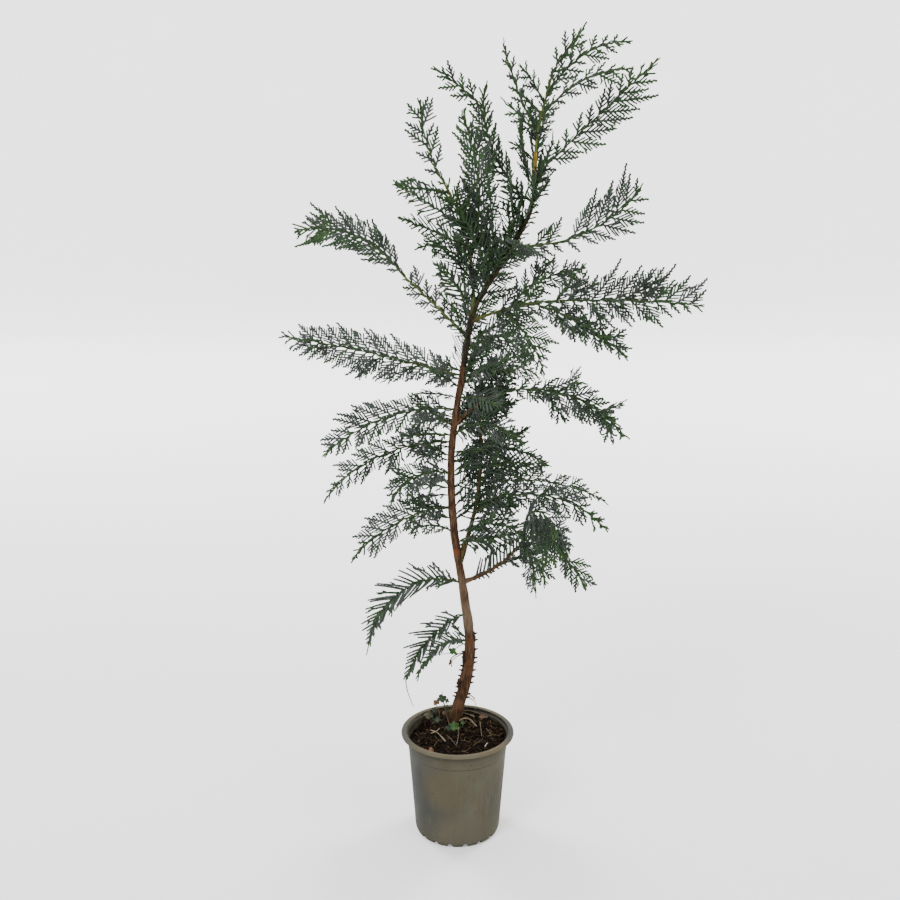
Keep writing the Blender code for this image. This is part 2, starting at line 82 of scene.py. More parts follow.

# Its plastic: tones from a cloud of noise, as positions in it and colours
POT_TONES = ((0.36, (0.053, 0.046, 0.028)), (0.50, (0.062, 0.057, 0.037)), (0.66, (0.070, 0.068, 0.050)))
LIP_TONES = ((0.40, (0.094, 0.080, 0.049)), (0.62, (0.110, 0.095, 0.065)))
# The inside: stains darkened into painted shade
STAIN_AND_SHADE_TONES = ((0.40, (0.009, 0.008, 0.006)), (0.60, (0.024, 0.023, 0.019)))
BARE_WALL_TONES = ((0.36, (0.034, 0.032, 0.025)), (0.56, (0.110, 0.105, 0.086)))
POT_ROUGHNESS = ((0.35, (0.56, 0.56, 0.56)), (0.70, (0.78, 0.78, 0.78)))
PATCH_CORE = 0.45  # the share of a patch's reach in which its colour is whole
# Where it is warmer, and its greyer sides, which are a painted reflection: each patch has its middle, its
# reach and its colour
POT_PATCHES_AND_REFLECTIONS = (
    # The greyer left side: a painted reflection
    ((-0.090, -0.030, 0.090), 0.120, (0.038, 0.038, 0.034)),
    ((-0.020, -0.078, 0.110), 0.055, (0.062, 0.053, 0.034)),
    ((0.020, -0.080, 0.150), 0.040, (0.064, 0.058, 0.040)),
    # The greyer right side: a painted reflection
    ((0.084, -0.020, 0.080), 0.074, (0.050, 0.047, 0.032)),
    ((0.000, -0.070, 0.020), 0.050, (0.068, 0.061, 0.043)),
)
# On the lip: greyer sides, which are a painted reflection, and a warmer patch at the front right
LIP_PATCHES_AND_REFLECTIONS = (
    ((-0.095, -0.010, 0.181), 0.065, (0.064, 0.065, 0.054)),
    ((0.095, 0.000, 0.181), 0.060, (0.058, 0.056, 0.050)),
    ((0.060, -0.070, 0.181), 0.034, (0.104, 0.082, 0.050)),
)
STREAKS_AT = (0.056, -0.054, 0.085)  # the middle of its rusty and pale streaks
# Painted shade in the moulded line, a painted shadow under the lip, and a darker band at the foot: lowest,
# highest, fade and strength
SHADE_AND_GRIME = ((0.1488, 0.1494, 0.0005, 0.70), (0.1735, 0.1765, 0.0120, 0.62), (0.0, 0.004, 0.005, 0.40))
LEDGE_AT = 0.1752  # the ring inside on which stacked pots rest
BARE_WALL_AT = (-0.074, 0.026, 0.168)  # where the compost has sunk and shows the wall
# Colours of the marks on it, and of its painted shade and painted light
POT_MARKS = {
    "scuff": (0.105, 0.092, 0.066),
    "rust": (0.078, 0.045, 0.020),
    "pale": (0.095, 0.092, 0.075),
    "speck": (0.026, 0.021, 0.013),
    # The dark colour of the painted shade in the moulded line, the painted shadow under the lip and the
    # darker foot
    "shade_and_dirt": (0.014, 0.012, 0.008),
    # A paler ring of painted light on the top of the inner ledge
    "ring": (0.078, 0.072, 0.060),
}

# The compost
COMPOST_LEVEL = 0.171
COMPOST_DIP = 0.003
DIP_RADII = (0.050, 0.080)  # where the dip begins and where it is full
DIP_SIDES = (0.07, -0.05)  # y + 0.6 x at the right back, where there is none, and at the left front
COMPOST_DEPTH = 0.03
COMPOST_TAPER = 0.003
COMPOST_RINGS = 62
COMPOST_STEPS = 190
COMPOST_LUMPS = ((55, 0.0028, 1.3), (150, 0.0040, 4.1), (380, 0.0022, 7.7))  # per metre, relief, seed
BANK = (0.004, 0.018)  # height and spread of the rise at the trunk
HOLLOW = (0.009, 0.030)  # depth and spread of the sunk part at the bare wall
COMPOST_COLOURS = ((0.0010, 0.0006, 0.0004), (0.016, 0.009, 0.005))
# Bark chips strewn over the compost: count, size, darker and lighter colour
CHIP_KINDS = {
    "dark": (700, (0.0062, 0.0036, 0.0024), (0.0010, 0.0007, 0.0005), (0.009, 0.005, 0.003)),
    "brown": (170, (0.0085, 0.0036, 0.0018), (0.008, 0.004, 0.002), (0.042, 0.022, 0.010)),
    "tan": (130, (0.0070, 0.0026, 0.0011), (0.022, 0.013, 0.005), (0.120, 0.072, 0.028)),
}
CHIP_SPREAD = (0.35, 1.15)  # the least and the most of a chip's usual size
CHIP_KNOCKS = (-0.35, 0.10)  # how far its corners are moved, as shares of its size
# Dry stalks strewn over the compost: count, shortest and longest, radius, colours
STRAW_KINDS = {
    "brown": (80, 0.006, 0.020, 0.00050, (0.014, 0.008, 0.004), (0.065, 0.036, 0.018)),
    "pale": (44, 0.006, 0.020, 0.00034, (0.070, 0.048, 0.024), (0.210, 0.155, 0.085)),
}
STRAW_BOW = 0.12
STRAW_LIFT = (0.0006, 0.0034)
STRAW_KNOTS = 0.3

# Leaves in the pot: their middles, widths, heights, lobes and rolls. A leaf with a root has its
# stalk from there, and the others have theirs from the compost below them.
WeedLeaf = namedtuple("WeedLeaf", "kind centre width height lobes roll root", defaults=(None,))
WEED_LEAVES = [WeedLeaf(*row) for row in (
    ("green", (-0.027, 0.056, 0.210), 0.018, 0.015, 4, -20),
    ("green", (-0.018, 0.054, 0.207), 0.009, 0.008, 4, 30),
    ("rust", (-0.037, 0.058, 0.201), 0.012, 0.010, 3, 0),
    ("dark", (-0.040, 0.058, 0.188), 0.009, 0.009, 5, 0),
    ("olive", (-0.050, 0.055, 0.179), 0.017, 0.014, 4, 15),
    ("dark", (-0.036, 0.044, 0.174), 0.017, 0.015, 5, -10),
    ("green", (-0.034, 0.042, 0.176), 0.009, 0.008, 4, 0),
    ("bright", (-0.006, 0.019, 0.175), 0.021, 0.019, 7, 10),
    ("dark", (-0.016, 0.017, 0.173), 0.013, 0.012, 5, 0),
    ("green", (0.009, 0.030, 0.178), 0.008, 0.008, 5, 0),
    ("dead", (0.045, 0.058, 0.176), 0.018, 0.010, 3, 8),
    ("rust", (-0.044, -0.053, 0.171), 0.010, 0.009, 3, 25),
    ("dead", (-0.020, 0.056, 0.182), 0.013, 0.012, 3, 60),
    ("dead", (-0.008, -0.004, 0.168), 0.010, 0.007, 3, -30),
    ("bright", (-0.008, 0.045, 0.303), 0.017, 0.012, 4, 35, (0.010, 0.046, 0.316)),
    ("dead", (-0.012, 0.045, 0.283), 0.006, 0.012, 3, 15, (0.008, 0.046, 0.298)),
)]
LEAF_TILT = 37  # degrees that a leaf faces up from level
LOBE_ROOT = 0.62  # the rim's reach between two lobes, as a share of the leaf's
LOBE_DEPTH = 0.40
LEAF_CUP = 0.10  # how far the leaf is bent, as a share of its width
LEAF_HALF_THICKNESS = 0.0004
WEED_STEM_RADIUS = 0.0008
WEED_SEGMENT = 0.003
# Stalks and dead stems: colour, radius and the points that they pass
STALKS = (
    ("pale", 0.0005, ((0.006, 0.060, 0.222), (0.022, 0.064, 0.214), (0.031, 0.066, 0.200),
                      (0.032, 0.072, 0.184), (0.029, 0.078, 0.171))),
    ("pale", 0.0004, ((-0.018, 0.066, 0.170), (-0.023, 0.060, 0.196), (-0.026, 0.057, 0.224))),
    ("pale", 0.0008, ((-0.014, 0.056, 0.188), (-0.010, 0.045, 0.178), (-0.004, 0.030, 0.172))),
    ("dead", 0.0011, ((-0.024, 0.062, 0.200), (-0.018, 0.056, 0.186), (-0.012, 0.046, 0.172))),
    ("dead", 0.0012, ((-0.020, 0.050, 0.186), (-0.016, 0.040, 0.178), (-0.013, 0.030, 0.171))),
    ("pale", 0.0014, ((0.003, 0.040, 0.176), (0.012, 0.045, 0.178), (0.022, 0.042, 0.177),
                      (0.033, 0.026, 0.172))),
    ("pale", 0.0009, ((-0.046, 0.010, 0.174), (-0.034, -0.002, 0.175), (-0.020, -0.026, 0.172))),
    ("pale", 0.0008, ((-0.030, 0.013, 0.176), (-0.036, 0.004, 0.175), (-0.045, -0.002, 0.174))),
    ("pale", 0.0008, ((0.002, 0.076, 0.175), (0.014, 0.068, 0.176), (0.030, 0.060, 0.174))),
    ("pale", 0.0007, ((0.010, 0.078, 0.176), (0.024, 0.077, 0.176), (0.040, 0.070, 0.174))),
    ("pale", 0.0005, ((0.039, 0.036, 0.177), (0.040, 0.008, 0.174), (0.042, -0.022, 0.172))),
    ("dead", 0.0007, ((0.049, 0.012, 0.176), (0.053, 0.004, 0.174), (0.058, -0.004, 0.172))),
    ("dead", 0.0007, ((0.002, 0.002, 0.180), (0.001, -0.022, 0.177), (-0.003, -0.048, 0.172))),
    ("dead", 0.0006, ((-0.018, -0.016, 0.178), (-0.010, -0.026, 0.175), (-0.002, -0.042, 0.172))),
    ("white", 0.0005, ((0.045, -0.046, 0.173), (0.048, -0.039, 0.175), (0.051, -0.033, 0.173))),
    ("dark", 0.0010, ((0.012, 0.046, 0.226), (0.022, 0.045, 0.222), (0.030, 0.045, 0.215))),
    ("dark", 0.0009, ((0.010, 0.046, 0.219), (0.020, 0.045, 0.217), (0.028, 0.045, 0.211))),
    ("dead", 0.0010, ((0.012, 0.047, 0.300), (-0.002, 0.046, 0.296), (-0.011, 0.046, 0.288),
                      (-0.010, 0.046, 0.274))),
    ("dead", 0.0005, ((0.012, 0.047, 0.298), (-0.020, 0.046, 0.298), (-0.042, 0.046, 0.294))),
)
WEED_COLOURS = {
    "green": ((0.014, 0.036, 0.007), (0.040, 0.075, 0.014)),
    "bright": ((0.018, 0.062, 0.006), (0.042, 0.112, 0.011)),
    "dark": ((0.007, 0.020, 0.008), (0.014, 0.034, 0.014)),
    "olive": ((0.045, 0.042, 0.012), (0.085, 0.075, 0.028)),
    "rust": ((0.120, 0.042, 0.010), (0.210, 0.095, 0.022)),
    "dead": ((0.050, 0.026, 0.012), (0.110, 0.062, 0.030)),
    "pale": ((0.130, 0.095, 0.050), (0.260, 0.205, 0.125)),
    "white": ((0.550, 0.540, 0.500), (0.700, 0.690, 0.660)),
}

# The main stem, as in the solids
STEM_BENDS = (
    (-0.0065, 0.050, 0.171),
    (0.0136, 0.049, 0.245),
    (0.0210, 0.048, 0.320),
    (0.008, 0.045, 0.425),
    (-0.006, 0.042, 0.520),
    (-0.011, 0.039, 0.610),
    (-0.007, 0.035, 0.690),
    (0.013, 0.030, 0.823),
    (0.028, 0.026, 0.893),
    (0.086, 0.020, 0.990),
    (0.113, 0.016, 1.052),
    (0.118, 0.011, 1.146),
    (0.136, 0.004, 1.231),
)
STEM_RADII = (0.0090, 0.0096, 0.0083, 0.0064, 0.0062, 0.0057, 0.0053,
              0.0044, 0.0041, 0.0038, 0.0034, 0.0020, 0.0012)  # at each bend
FLARE = 0.0028
FLARE_HEIGHT = 0.02
STEM_SEGMENT = 0.028
BARK_STEP = 0.0022
BARK_GIRTH = 1.06  # ridges of bark outside the solid's radius
# Old leaf bases on the lower trunk: their heights on its right and on its left
SPINES = {
    1: (0.334, 0.322, 0.306, 0.289, 0.280, 0.266, 0.254, 0.242, 0.221, 0.215),
    -1: (0.300, 0.274, 0.266, 0.255, 0.234, 0.224, 0.217),
}
SPINE_LENGTH = 0.0080
SPINE_HALF_WIDTHS = (0.0027, 0.0011)  # at the foot and at the tip
SUNK = 0.85  # how far out in the trunk the feet of spines and lumps lie, as a share of its radius
# Ridges round a stem: how coarse they are, and how fast they change from ring to ring
TRUNK_RIDGES = (1.7, 0.09)
LIMB_RIDGES = (1.1, 0.25)
LUMP_RIDGES = (1.6, 0.6)
TRUNK_SEED = 3.7
FINENESS = 2.3  # how much finer the second layer of ridges is round the stem
FINE_SHARE = 0.55
LIMB_RELIEF = 0.10
LUMP_RELIEF = 0.5
# Lumps of dead bark: height, side, length and how far they stand out
LUMPS = (
    (0.243, -1, 0.020, 0.0058),
    (0.291, -1, 0.030, 0.0046),
    (0.327, 1, 0.026, 0.0034),
    (0.300, 1, 0.020, 0.0026),
)
# Kinds of bark: dark, middle and light colour, how many fibres a metre, and their relief
BARKS = {
    "bark": ((0.014, 0.007, 0.004), (0.055, 0.026, 0.012), (0.125, 0.075, 0.040), 330.0, 0.0012),
    # Darker bark that is painted shade, where the trunk runs inside the crown
    "dusky_bark": ((0.007, 0.007, 0.004), (0.020, 0.016, 0.009), (0.043, 0.032, 0.017), 330.0, 0.0010),
    "golden_bark": ((0.110, 0.070, 0.012), (0.230, 0.160, 0.025), (0.330, 0.250, 0.050), 260.0, 0.0003),
    "young_bark": ((0.030, 0.038, 0.010), (0.070, 0.082, 0.019), (0.120, 0.130, 0.033), 300.0, 0.0005),
    "olive_bark": ((0.012, 0.010, 0.005), (0.050, 0.036, 0.013), (0.105, 0.078, 0.030), 330.0, 0.0008),
    "lump_bark": ((0.008, 0.005, 0.003), (0.022, 0.012, 0.006), (0.060, 0.036, 0.020), 420.0, 0.0010),
    "frond_stem": ((0.020, 0.036, 0.012), (0.036, 0.058, 0.017), (0.080, 0.084, 0.025), 300.0, 0.0004),
}
FIBRE_STRETCH = (1.0, 1.0, 0.16)
# Stretches of the trunk: bark, slot, height of the foot, sides and relief
TRUNK_PARTS = {
    "trunk_bark": ("bark", "bark", 0.0, 36, 0.13),
    # The stretch inside the crown: bark darkened into painted shade
    "trunk_dusky": ("dusky_bark", "bark", 0.80, 24, 0.12),
    "trunk_golden": ("golden_bark", "young_bark", 1.045, 20, 0.05),
    "trunk_top": ("young_bark", "young_bark", 1.125, 16, 0.07),
}
# Stains and scars on the bark
BARK_PATCHES = (
    ((0.020, 0.040, 0.322), 0.011, (0.070, 0.030, 0.013)),
    ((0.020, 0.040, 0.285), 0.008, (0.070, 0.030, 0.013)),
    ((0.022, 0.040, 0.268), 0.009, (0.070, 0.030, 0.013)),
    ((0.004, 0.042, 0.205), 0.012, (0.090, 0.046, 0.024)),
    ((-0.003, 0.038, 0.483), 0.0080, (0.110, 0.034, 0.013)),
    ((0.114, 0.012, 1.047), 0.004, (0.260, 0.085, 0.024)),
)
# Paler stretches of bark, through which the fibres still show
PALE_BARK = (
    ((0.014, 0.040, 0.368), 0.038, (0.150, 0.112, 0.078)),
    ((0.002, 0.040, 0.425), 0.026, (0.125, 0.088, 0.056)),
)
PALE_STRENGTH = 0.42
BROWN_FOOT = (0.016, (0.045, 0.028, 0.013))  # reach and colour where bough_high_right leaves the trunk

# Limbs leave their carrier at a share of its length. A bearing turns from +X towards +Y, and a climb
# is up from level, both in degrees. The climb changes evenly from the foot to the tip.
Limb = namedtuple("Limb", "name carrier at bearing length climb_foot climb_tip foot_radius tip_radius bark")
LIMBS = [Limb(*row) for row in (
    ("second_stem", "trunk", 0.272, 18, 0.325, 69, 108, 0.0038, 0.0012, "olive_bark"),
    ("left_leader", "trunk", 0.654, 180, 0.196, 92, 58, 0.0026, 0.0012, "young_bark"),
    ("bough_low_right", "trunk", 0.239, 340, 0.132, 22, 58, 0.0030, 0.0014, "bark"),
    ("bough_mid_right", "trunk", 0.486, 342, 0.100, 50, 16, 0.0022, 0.0013, "bark"),
    ("bough_high_right", "trunk", 0.644, 352, 0.110, 24, 8, 0.0024, 0.0014, "young_bark"),
    ("bough_high_left", "trunk", 0.620, 165, 0.136, 44, 40, 0.0022, 0.0013, "young_bark"),
    ("bough_top_right", "trunk", 0.767, 0, 0.070, 0, 12, 0.0016, 0.0012, "young_bark"),
    ("bough_back", "trunk", 0.578, 82, 0.090, 40, 22, 0.0020, 0.0013, "bark"),
)]
LIMB_SEGMENT = 0.005
LIMB_SIDES = 14
COLLAR = 0.80  # how much thicker a limb is at its foot
COLLAR_STEPS = 3.0  # steps along the limb in which the collar shrinks to about a third

# Fronds are flat masses of side shoots along a stem. Roll turns the flat side about the stem, in
# degrees, and upper and lower are how far the shoots reach on its two sides.
Frond = namedtuple("Frond", "name carrier at bearing length climb_foot climb_tip roll upper lower")
FRONDS = [Frond("frond_" + row[0], *row[1:]) for row in (
    ("left_1", "trunk", 0.236, 205, 0.211, 27, -81, 112, 0.038, 0.024),
    ("left_2", "trunk", 0.186, 215, 0.152, -6, -68, 118, 0.031, 0.018),
    ("left_3", "trunk", 0.135, 230, 0.140, 35, -53, 120, 0.018, 0.012),
    ("left_4", "trunk", 0.564, 162, 0.314, 12, 6, 104, 0.044, 0.044),
    ("left_5", "trunk", 0.513, 200, 0.231, 9, -40, 110, 0.042, 0.032),
    ("left_6", "trunk", 0.463, 172, 0.243, -1, -53, 112, 0.036, 0.034),
    ("left_7", "trunk", 0.493, 140, 0.100, 4, -36, 96, 0.024, 0.022),
    ("left_8", "trunk", 0.411, 225, 0.138, 26, -45, 118, 0.030, 0.028),
    ("left_9", "trunk", 0.362, 208, 0.187, 3, -42, 108, 0.036, 0.030),
    ("left_10", "trunk", 0.318, 158, 0.081, 28, -49, 94, 0.024, 0.022),
    ("left_11", "bough_high_left", 1.0, 160, 0.212, 52, -14, 104, 0.038, 0.034),
    ("leader_tip", "left_leader", 1.0, 168, 0.117, 61, 86, 96, 0.028, 0.026),
    ("leader_1", "left_leader", 0.880, 212, 0.091, 2, 13, 106, 0.018, 0.016),
    ("leader_2", "left_leader", 0.570, 152, 0.136, 33, 25, 100, 0.032, 0.024),
    ("leader_3", "left_leader", 0.420, 208, 0.124, 24, 19, 112, 0.022, 0.018),
    ("leader_4", "left_leader", 0.200, 225, 0.128, 50, -8, 116, 0.024, 0.020),
    ("leader_5", "trunk", 0.632, 215, 0.102, 80, 40, 60, 0.026, 0.024),
    ("leader_6", "left_leader", 0.340, 350, 0.211, 74, 116, 84, 0.030, 0.028),
    ("centre_1", "trunk", 0.707, 140, 0.156, 92, 47, 70, 0.030, 0.030),
    ("centre_2", "trunk", 0.721, 245, 0.155, 84, 72, 140, 0.030, 0.030),
    ("top_1", "trunk", 1.0, 335, 0.082, 65, 42, 80, 0.020, 0.020),
    ("top_2", "trunk", 0.972, 28, 0.178, 58, 0, 76, 0.022, 0.022),
    ("top_3", "trunk", 0.948, 322, 0.162, 46, -4, 70, 0.022, 0.024),
    ("top_4", "trunk", 0.869, 350, 0.237, 44, 42, 78, 0.026, 0.036),
    ("top_5", "trunk", 0.833, 152, 0.199, 33, 98, 98, 0.024, 0.024),
    ("top_6", "frond_top_5", 0.820, 200, 0.096, 43, 30, 100, 0.022, 0.022),
    ("top_7", "trunk", 0.851, 222, 0.108, 55, 97, 120, 0.030, 0.028),
    ("top_8", "trunk", 0.927, 140, 0.145, 54, 73, 96, 0.018, 0.014),
    ("top_9", "trunk", 0.905, 75, 0.110, 36, 50, 30, 0.024, 0.024),
    ("right_1", "bough_top_right", 1.0, 345, 0.144, 15, 52, 74, 0.060, 0.036),
    ("right_2", "bough_high_right", 1.0, 346, 0.244, 5, -5, 64, 0.072, 0.040),
    ("right_3", "bough_high_right", 0.50, 30, 0.158, 42, -2, 58, 0.034, 0.026),
    ("right_4", "bough_high_right", 0.85, 325, 0.150, -8, -40, 60, 0.026, 0.032),
    ("right_5", "bough_mid_right", 1.0, 338, 0.206, 15, -49, 64, 0.028, 0.036),
    ("right_6", "trunk", 0.548, 35, 0.168, 32, -37, 60, 0.030, 0.028),
    ("right_7", "second_stem", 0.360, 24, 0.251, 4, -31, 70, 0.028, 0.030),
    ("right_8", "second_stem", 0.200, 335, 0.246, 42, -43, 66, 0.028, 0.034),
    ("right_9", "second_stem", 0.100, 325, 0.115, 40, -34, 64, 0.030, 0.028),
    ("right_10", "bough_low_right", 0.97, 292, 0.190, 86, -78, 60, 0.036, 0.042),
    ("right_11", "bough_low_right", 0.90, 285, 0.110, 20, -88, 62, 0.024, 0.026),
    ("right_12", "trunk", 0.472, 322, 0.140, 40, -42, 62, 0.028, 0.030),
    ("right_13", "trunk", 0.437, 12, 0.160, 22, -36, 68, 0.026, 0.026),
    ("right_14", "trunk", 0.596, 325, 0.137, 48, -56, 60, 0.026, 0.030),
    ("back_1", "bough_back", 1.0, 85, 0.150, 22, -20, 30, 0.036, 0.036),
    ("back_2", "second_stem", 0.560, 100, 0.170, 34, -24, 32, 0.034, 0.034),
    ("back_3", "trunk", 0.387, 110, 0.150, 20, -40, 34, 0.032, 0.032),
    ("back_4", "trunk", 0.689, 75, 0.160, 44, 16, 30, 0.034, 0.034),
    ("front_1", "bough_high_right", 0.30, 298, 0.172, 4, -60, 50, 0.036, 0.036),
    ("front_2", "trunk", 0.744, 285, 0.130, 30, -10, 148, 0.030, 0.030),
)]
# The stem of a frond is its rachis
RACHIS_RADIUS = 0.0008
RACHIS_GROWTH = 0.0028
RACHIS_TIP_RADIUS = 0.0005
RACHIS_SEGMENT = 0.004
RACHIS_SIDES = 6
RACHIS_KNOTS = 0.22  # how much thicker every other ring is

# How side shoots grow along a frond: the solids' rule, with more of them.
# spacing: from one shoot to the next
# lean_foot, lean_tip: degrees between shoot and stem, at the frond's foot and at its tip
# curl, rise: how far a shoot turns towards the stem's way, and upwards
# twig_spacing, twig_lean, twig_length: of a shoot's twigs, the length as a share of the shoot's
# girth: of shoots and twigs, as a share of the usual
# plain_from: the share of the frond's length from which its shoots have no twigs
# fall: how late the shoots shorten towards the frond's tip
# under: the lean of the shoots on the lower side, as a share of the others'
Style = namedtuple("Style", (
    "spacing lean_foot lean_tip curl rise twig_spacing twig_lean twig_length girth plain_from fall under"
))
STYLES = {
    "fern": Style(0.0084, 54, 44, 0.34, 0.00, 0.0032, 38, 0.50, 0.88, 0.90, 2.4, 1.0),
    "comb": Style(0.0040, 54, 40, 0.45, 0.10, 0.0060, 32, 0.30, 1.28, 0.06, 1.6, 0.66),
    "feather": Style(0.0092, 50, 42, 0.12, 0.90, 0.0034, 35, 0.42, 0.86, 0.97, 2.2, 1.0),
    "loose": Style(0.0100, 46, 36, 0.26, 0.14, 0.0035, 39, 0.46, 0.96, 0.90, 2.4, 1.0),
    "rib": Style(0.0044, 48, 40, 0.22, 0.06, 0.0060, 32, 0.30, 0.84, 0.06, 1.8, 1.0),
    "bristle": Style(0.0038, 66, 60, 0.10, 0.30, 0.0060, 30, 0.30, 1.35, -1.0, 2.4, 1.0),
    "rope": Style(0.0062, 42, 30, 0.20, 0.00, 0.0035, 32, 0.36, 1.00, 0.80, 2.4, 1.0),
}
# The fronds of each style. The others are ferns.
FROND_STYLES = {
    "comb": ("left_1", "left_2", "left_3"),
    "rib": ("leader_1", "leader_2", "leader_3", "leader_5", "centre_1", "right_9", "right_12", "right_13"),
    "feather": ("right_1", "right_2", "right_3"),
    "loose": ("top_1", "top_2", "top_3", "top_4", "top_6", "top_8", "leader_tip", "centre_2"),
    "rope": ("left_11", "top_5", "top_7", "leader_6"),
}
# Side shoots that grow straight from a limb, between two shares of its length
Dressing = namedtuple("Dressing", "carrier start end bearing roll upper lower style group")
DRESSINGS = [Dressing(*row) for row in (
    ("bough_high_left", 0.10, 1.0, 165, 100, 0.030, 0.024, "fern", "left"),
    ("bough_top_right", 0.12, 1.0, 0, 60, 0.050, 0.030, "feather", "right"),
    ("bough_high_right", 0.20, 1.0, 352, 60, 0.056, 0.036, "feather", "right"),
    ("bough_low_right", 0.04, 0.95, 340, 60, 0.036, 0.010, "bristle", "right"),
    ("bough_mid_right", 0.15, 1.0, 342, 60, 0.034, 0.034, "fern", "right"),
    ("left_leader", 0.30, 1.0, 180, 90, 0.030, 0.030, "fern", "leader"),
    ("second_stem", 0.22, 1.0, 0, 60, 0.034, 0.034, "fern", "right"),
    ("trunk", 0.62, 0.79, 0, 100, 0.040, 0.040, "fern", "centre"),
    ("trunk", 0.90, 0.995, 0, 60, 0.020, 0.020, "feather", "top"),
)]

# Small sprays that fill the crown round a limb, between two shares of its length: their spacing and
# width, and the least and the most of their bearings, climbs and lengths
Thicket = namedtuple("Thicket", "group style carrier start end spacing bearings climbs lengths width")
THICKET_WIDTHS = (0.7, 1.1)  # shares of the usual width
THICKET_ROLLS = (30, 150)
CLIMB_CHANGES = (-30, 25)  # from a small spray's foot to its tip
THICKETS = [Thicket(*row) for row in (
    ("centre", "rib", "trunk", 0.60, 0.80, 0.0165, (100, 290), (35, 80), (0.06, 0.12), 0.026),
    ("right", "rib", "trunk", 0.42, 0.62, 0.0110, (-60, 90), (0, 50), (0.06, 0.12), 0.028),
    ("left", "fern", "trunk", 0.34, 0.58, 0.0170, (130, 235), (-10, 45), (0.04, 0.08), 0.022),
    ("leader", "rib", "left_leader", 0.10, 0.75, 0.0230, (150, 330), (25, 70), (0.05, 0.09), 0.024),
    ("right", "rib", "second_stem", 0.18, 1.0, 0.0120, (-70, 80), (10, 55), (0.05, 0.11), 0.028),
    ("right", "rib", "trunk", 0.29, 0.42, 0.0130, (-40, 70), (10, 50), (0.04, 0.07), 0.022),
    ("top", "fern", "trunk", 0.80, 0.97, 0.0180, (60, 300), (40, 75), (0.03, 0.07), 0.018),
    ("centre", "rib", "trunk", 0.66, 0.88, 0.0130, (-90, 60), (50, 84), (0.03, 0.06), 0.014),
    ("hanging", "fern", "frond_right_10", 0.10, 0.95, 0.0180, (-70, 50), (-88, -35), (0.05, 0.09), 0.030),
    ("hanging", "fern", "bough_low_right", 0.45, 1.0, 0.0180, (-60, 60), (-60, 60), (0.04, 0.08), 0.026),
    ("right", "fern", "frond_right_5", 0.10, 0.80, 0.0200, (-70, 30), (-60, 40), (0.04, 0.07), 0.024),
    ("right", "fern", "frond_right_3", 0.20, 0.80, 0.0250, (-30, 60), (-10, 60), (0.04, 0.06), 0.024),
    ("right", "fern", "frond_right_4", 0.15, 0.85, 0.0200, (-60, 40), (-70, 0), (0.04, 0.07), 0.026),
    ("right", "fern", "frond_right_2", 0.05, 0.50, 0.0200, (-60, 30), (-60, 60), (0.04, 0.07), 0.026),
    ("left", "fern", "frond_left_4", 0.10, 0.70, 0.0550, (120, 200), (-30, 30), (0.04, 0.07), 0.024),
    ("left", "fern", "frond_left_7", 0.10, 0.90, 0.0300, (110, 200), (-40, 20), (0.03, 0.06), 0.022),
    ("left", "fern", "frond_left_8", 0.10, 0.80, 0.0400, (170, 250), (-50, 10), (0.03, 0.06), 0.022),
    ("left", "fern", "trunk", 0.126, 0.140, 0.0070, (185, 205), (30, 52), (0.026, 0.034), 0.010),
    ("right", "rib", "second_stem", 0.04, 0.26, 0.0100, (-50, 30), (-15, 25), (0.06, 0.10), 0.028),
)]
FIRST_SHOOT = 0.010
SHOOT_DROOP = 0.10
SPACING_SPREAD = 0.30
ANGLE_SPREAD = 7  # degrees
LENGTH_SPREAD = (0.64, 1.14)
PLAIN_SPREAD = 0.1  # of the share from which shoots have no twigs
REACH_AT_FOOT = 0.6
REACH_GROWTH = 1.4
REACH_AT_TIP = 0.12
SHOOT_LONGEST = 0.074

# Twigs along a side shoot
FIRST_TWIG = 0.004
TWIG_SHORTEST = 0.0038
TWIG_LONGEST = 0.0230
TWIGS_AT_FOOT = 0.62  # length of a shoot's first twigs, as a share of the longest
TWIG_GROWTH = 2.0
TWIG_FADE = 1.30
TWIG_FADE_POWER = 1.2
TWIG_SPACING_SPREAD = 0.2
TWIG_LENGTH_SPREAD = (0.70, 1.12)
TWIG_ANGLE_SPREAD = 4
TWIGS_END = 0.97
TWIG_LEAN_AT_FOOT = 1.1  # share of the style's lean, with what it loses by the shoot's tip
TWIG_LEAN_LOSS = 0.25
TWIG_LIFT = 0.10  # how far twigs stand out of their spray's plane
TWIG_CURL = 0.18
STUB_AT = (0.62, 0.80)
STUB_LEAN = 34
STUB_CHANCE = 0.20
STUB_FROM = 0.011
STUB_LENGTHS = (0.26, 0.40)  # shares of the twig's length
OUTER_FROM = 0.6  # the share of a shoot from which its colour may be fresher

# Short scaly twigs that hug a frond's stem, with a longer one in every fourth axil
HUG_SPACING = 0.0022
HUG_LENGTH = 0.0055
HUG_LEAN = 17
AXIL_EVERY = 4
AXIL_LENGTH = 0.011
AXIL_LEAN = 33
HUG_END = 0.99
AXIL_SPREAD = 0.3
HUG_LENGTH_SPREAD = (0.7, 1.3)
HUG_FRESH_FROM = 0.7  # the share of the stem from which these twigs are fresh growth

# Scale leaves: each swells from a narrow foot to a flared tip
SCALE_PITCH = 0.0058
SCALE_FOOT = 0.92
SCALE_FLARE_AT = 0.78
SHOOT_HALF_WIDTH = 0.00185
TWIG_HALF_WIDTH = 0.00165
TIP_HALF_WIDTH = 0.00130
SCALE_THICKNESS = 0.58
# Scale leaves grow in pairs, one pair at the twig's edges and the next on its faces: the width and
# the thickness of the two kinds
PAIR_WIDTHS = (1.0, 0.93)
PAIR_THICKNESSES = (0.90, 1.08)

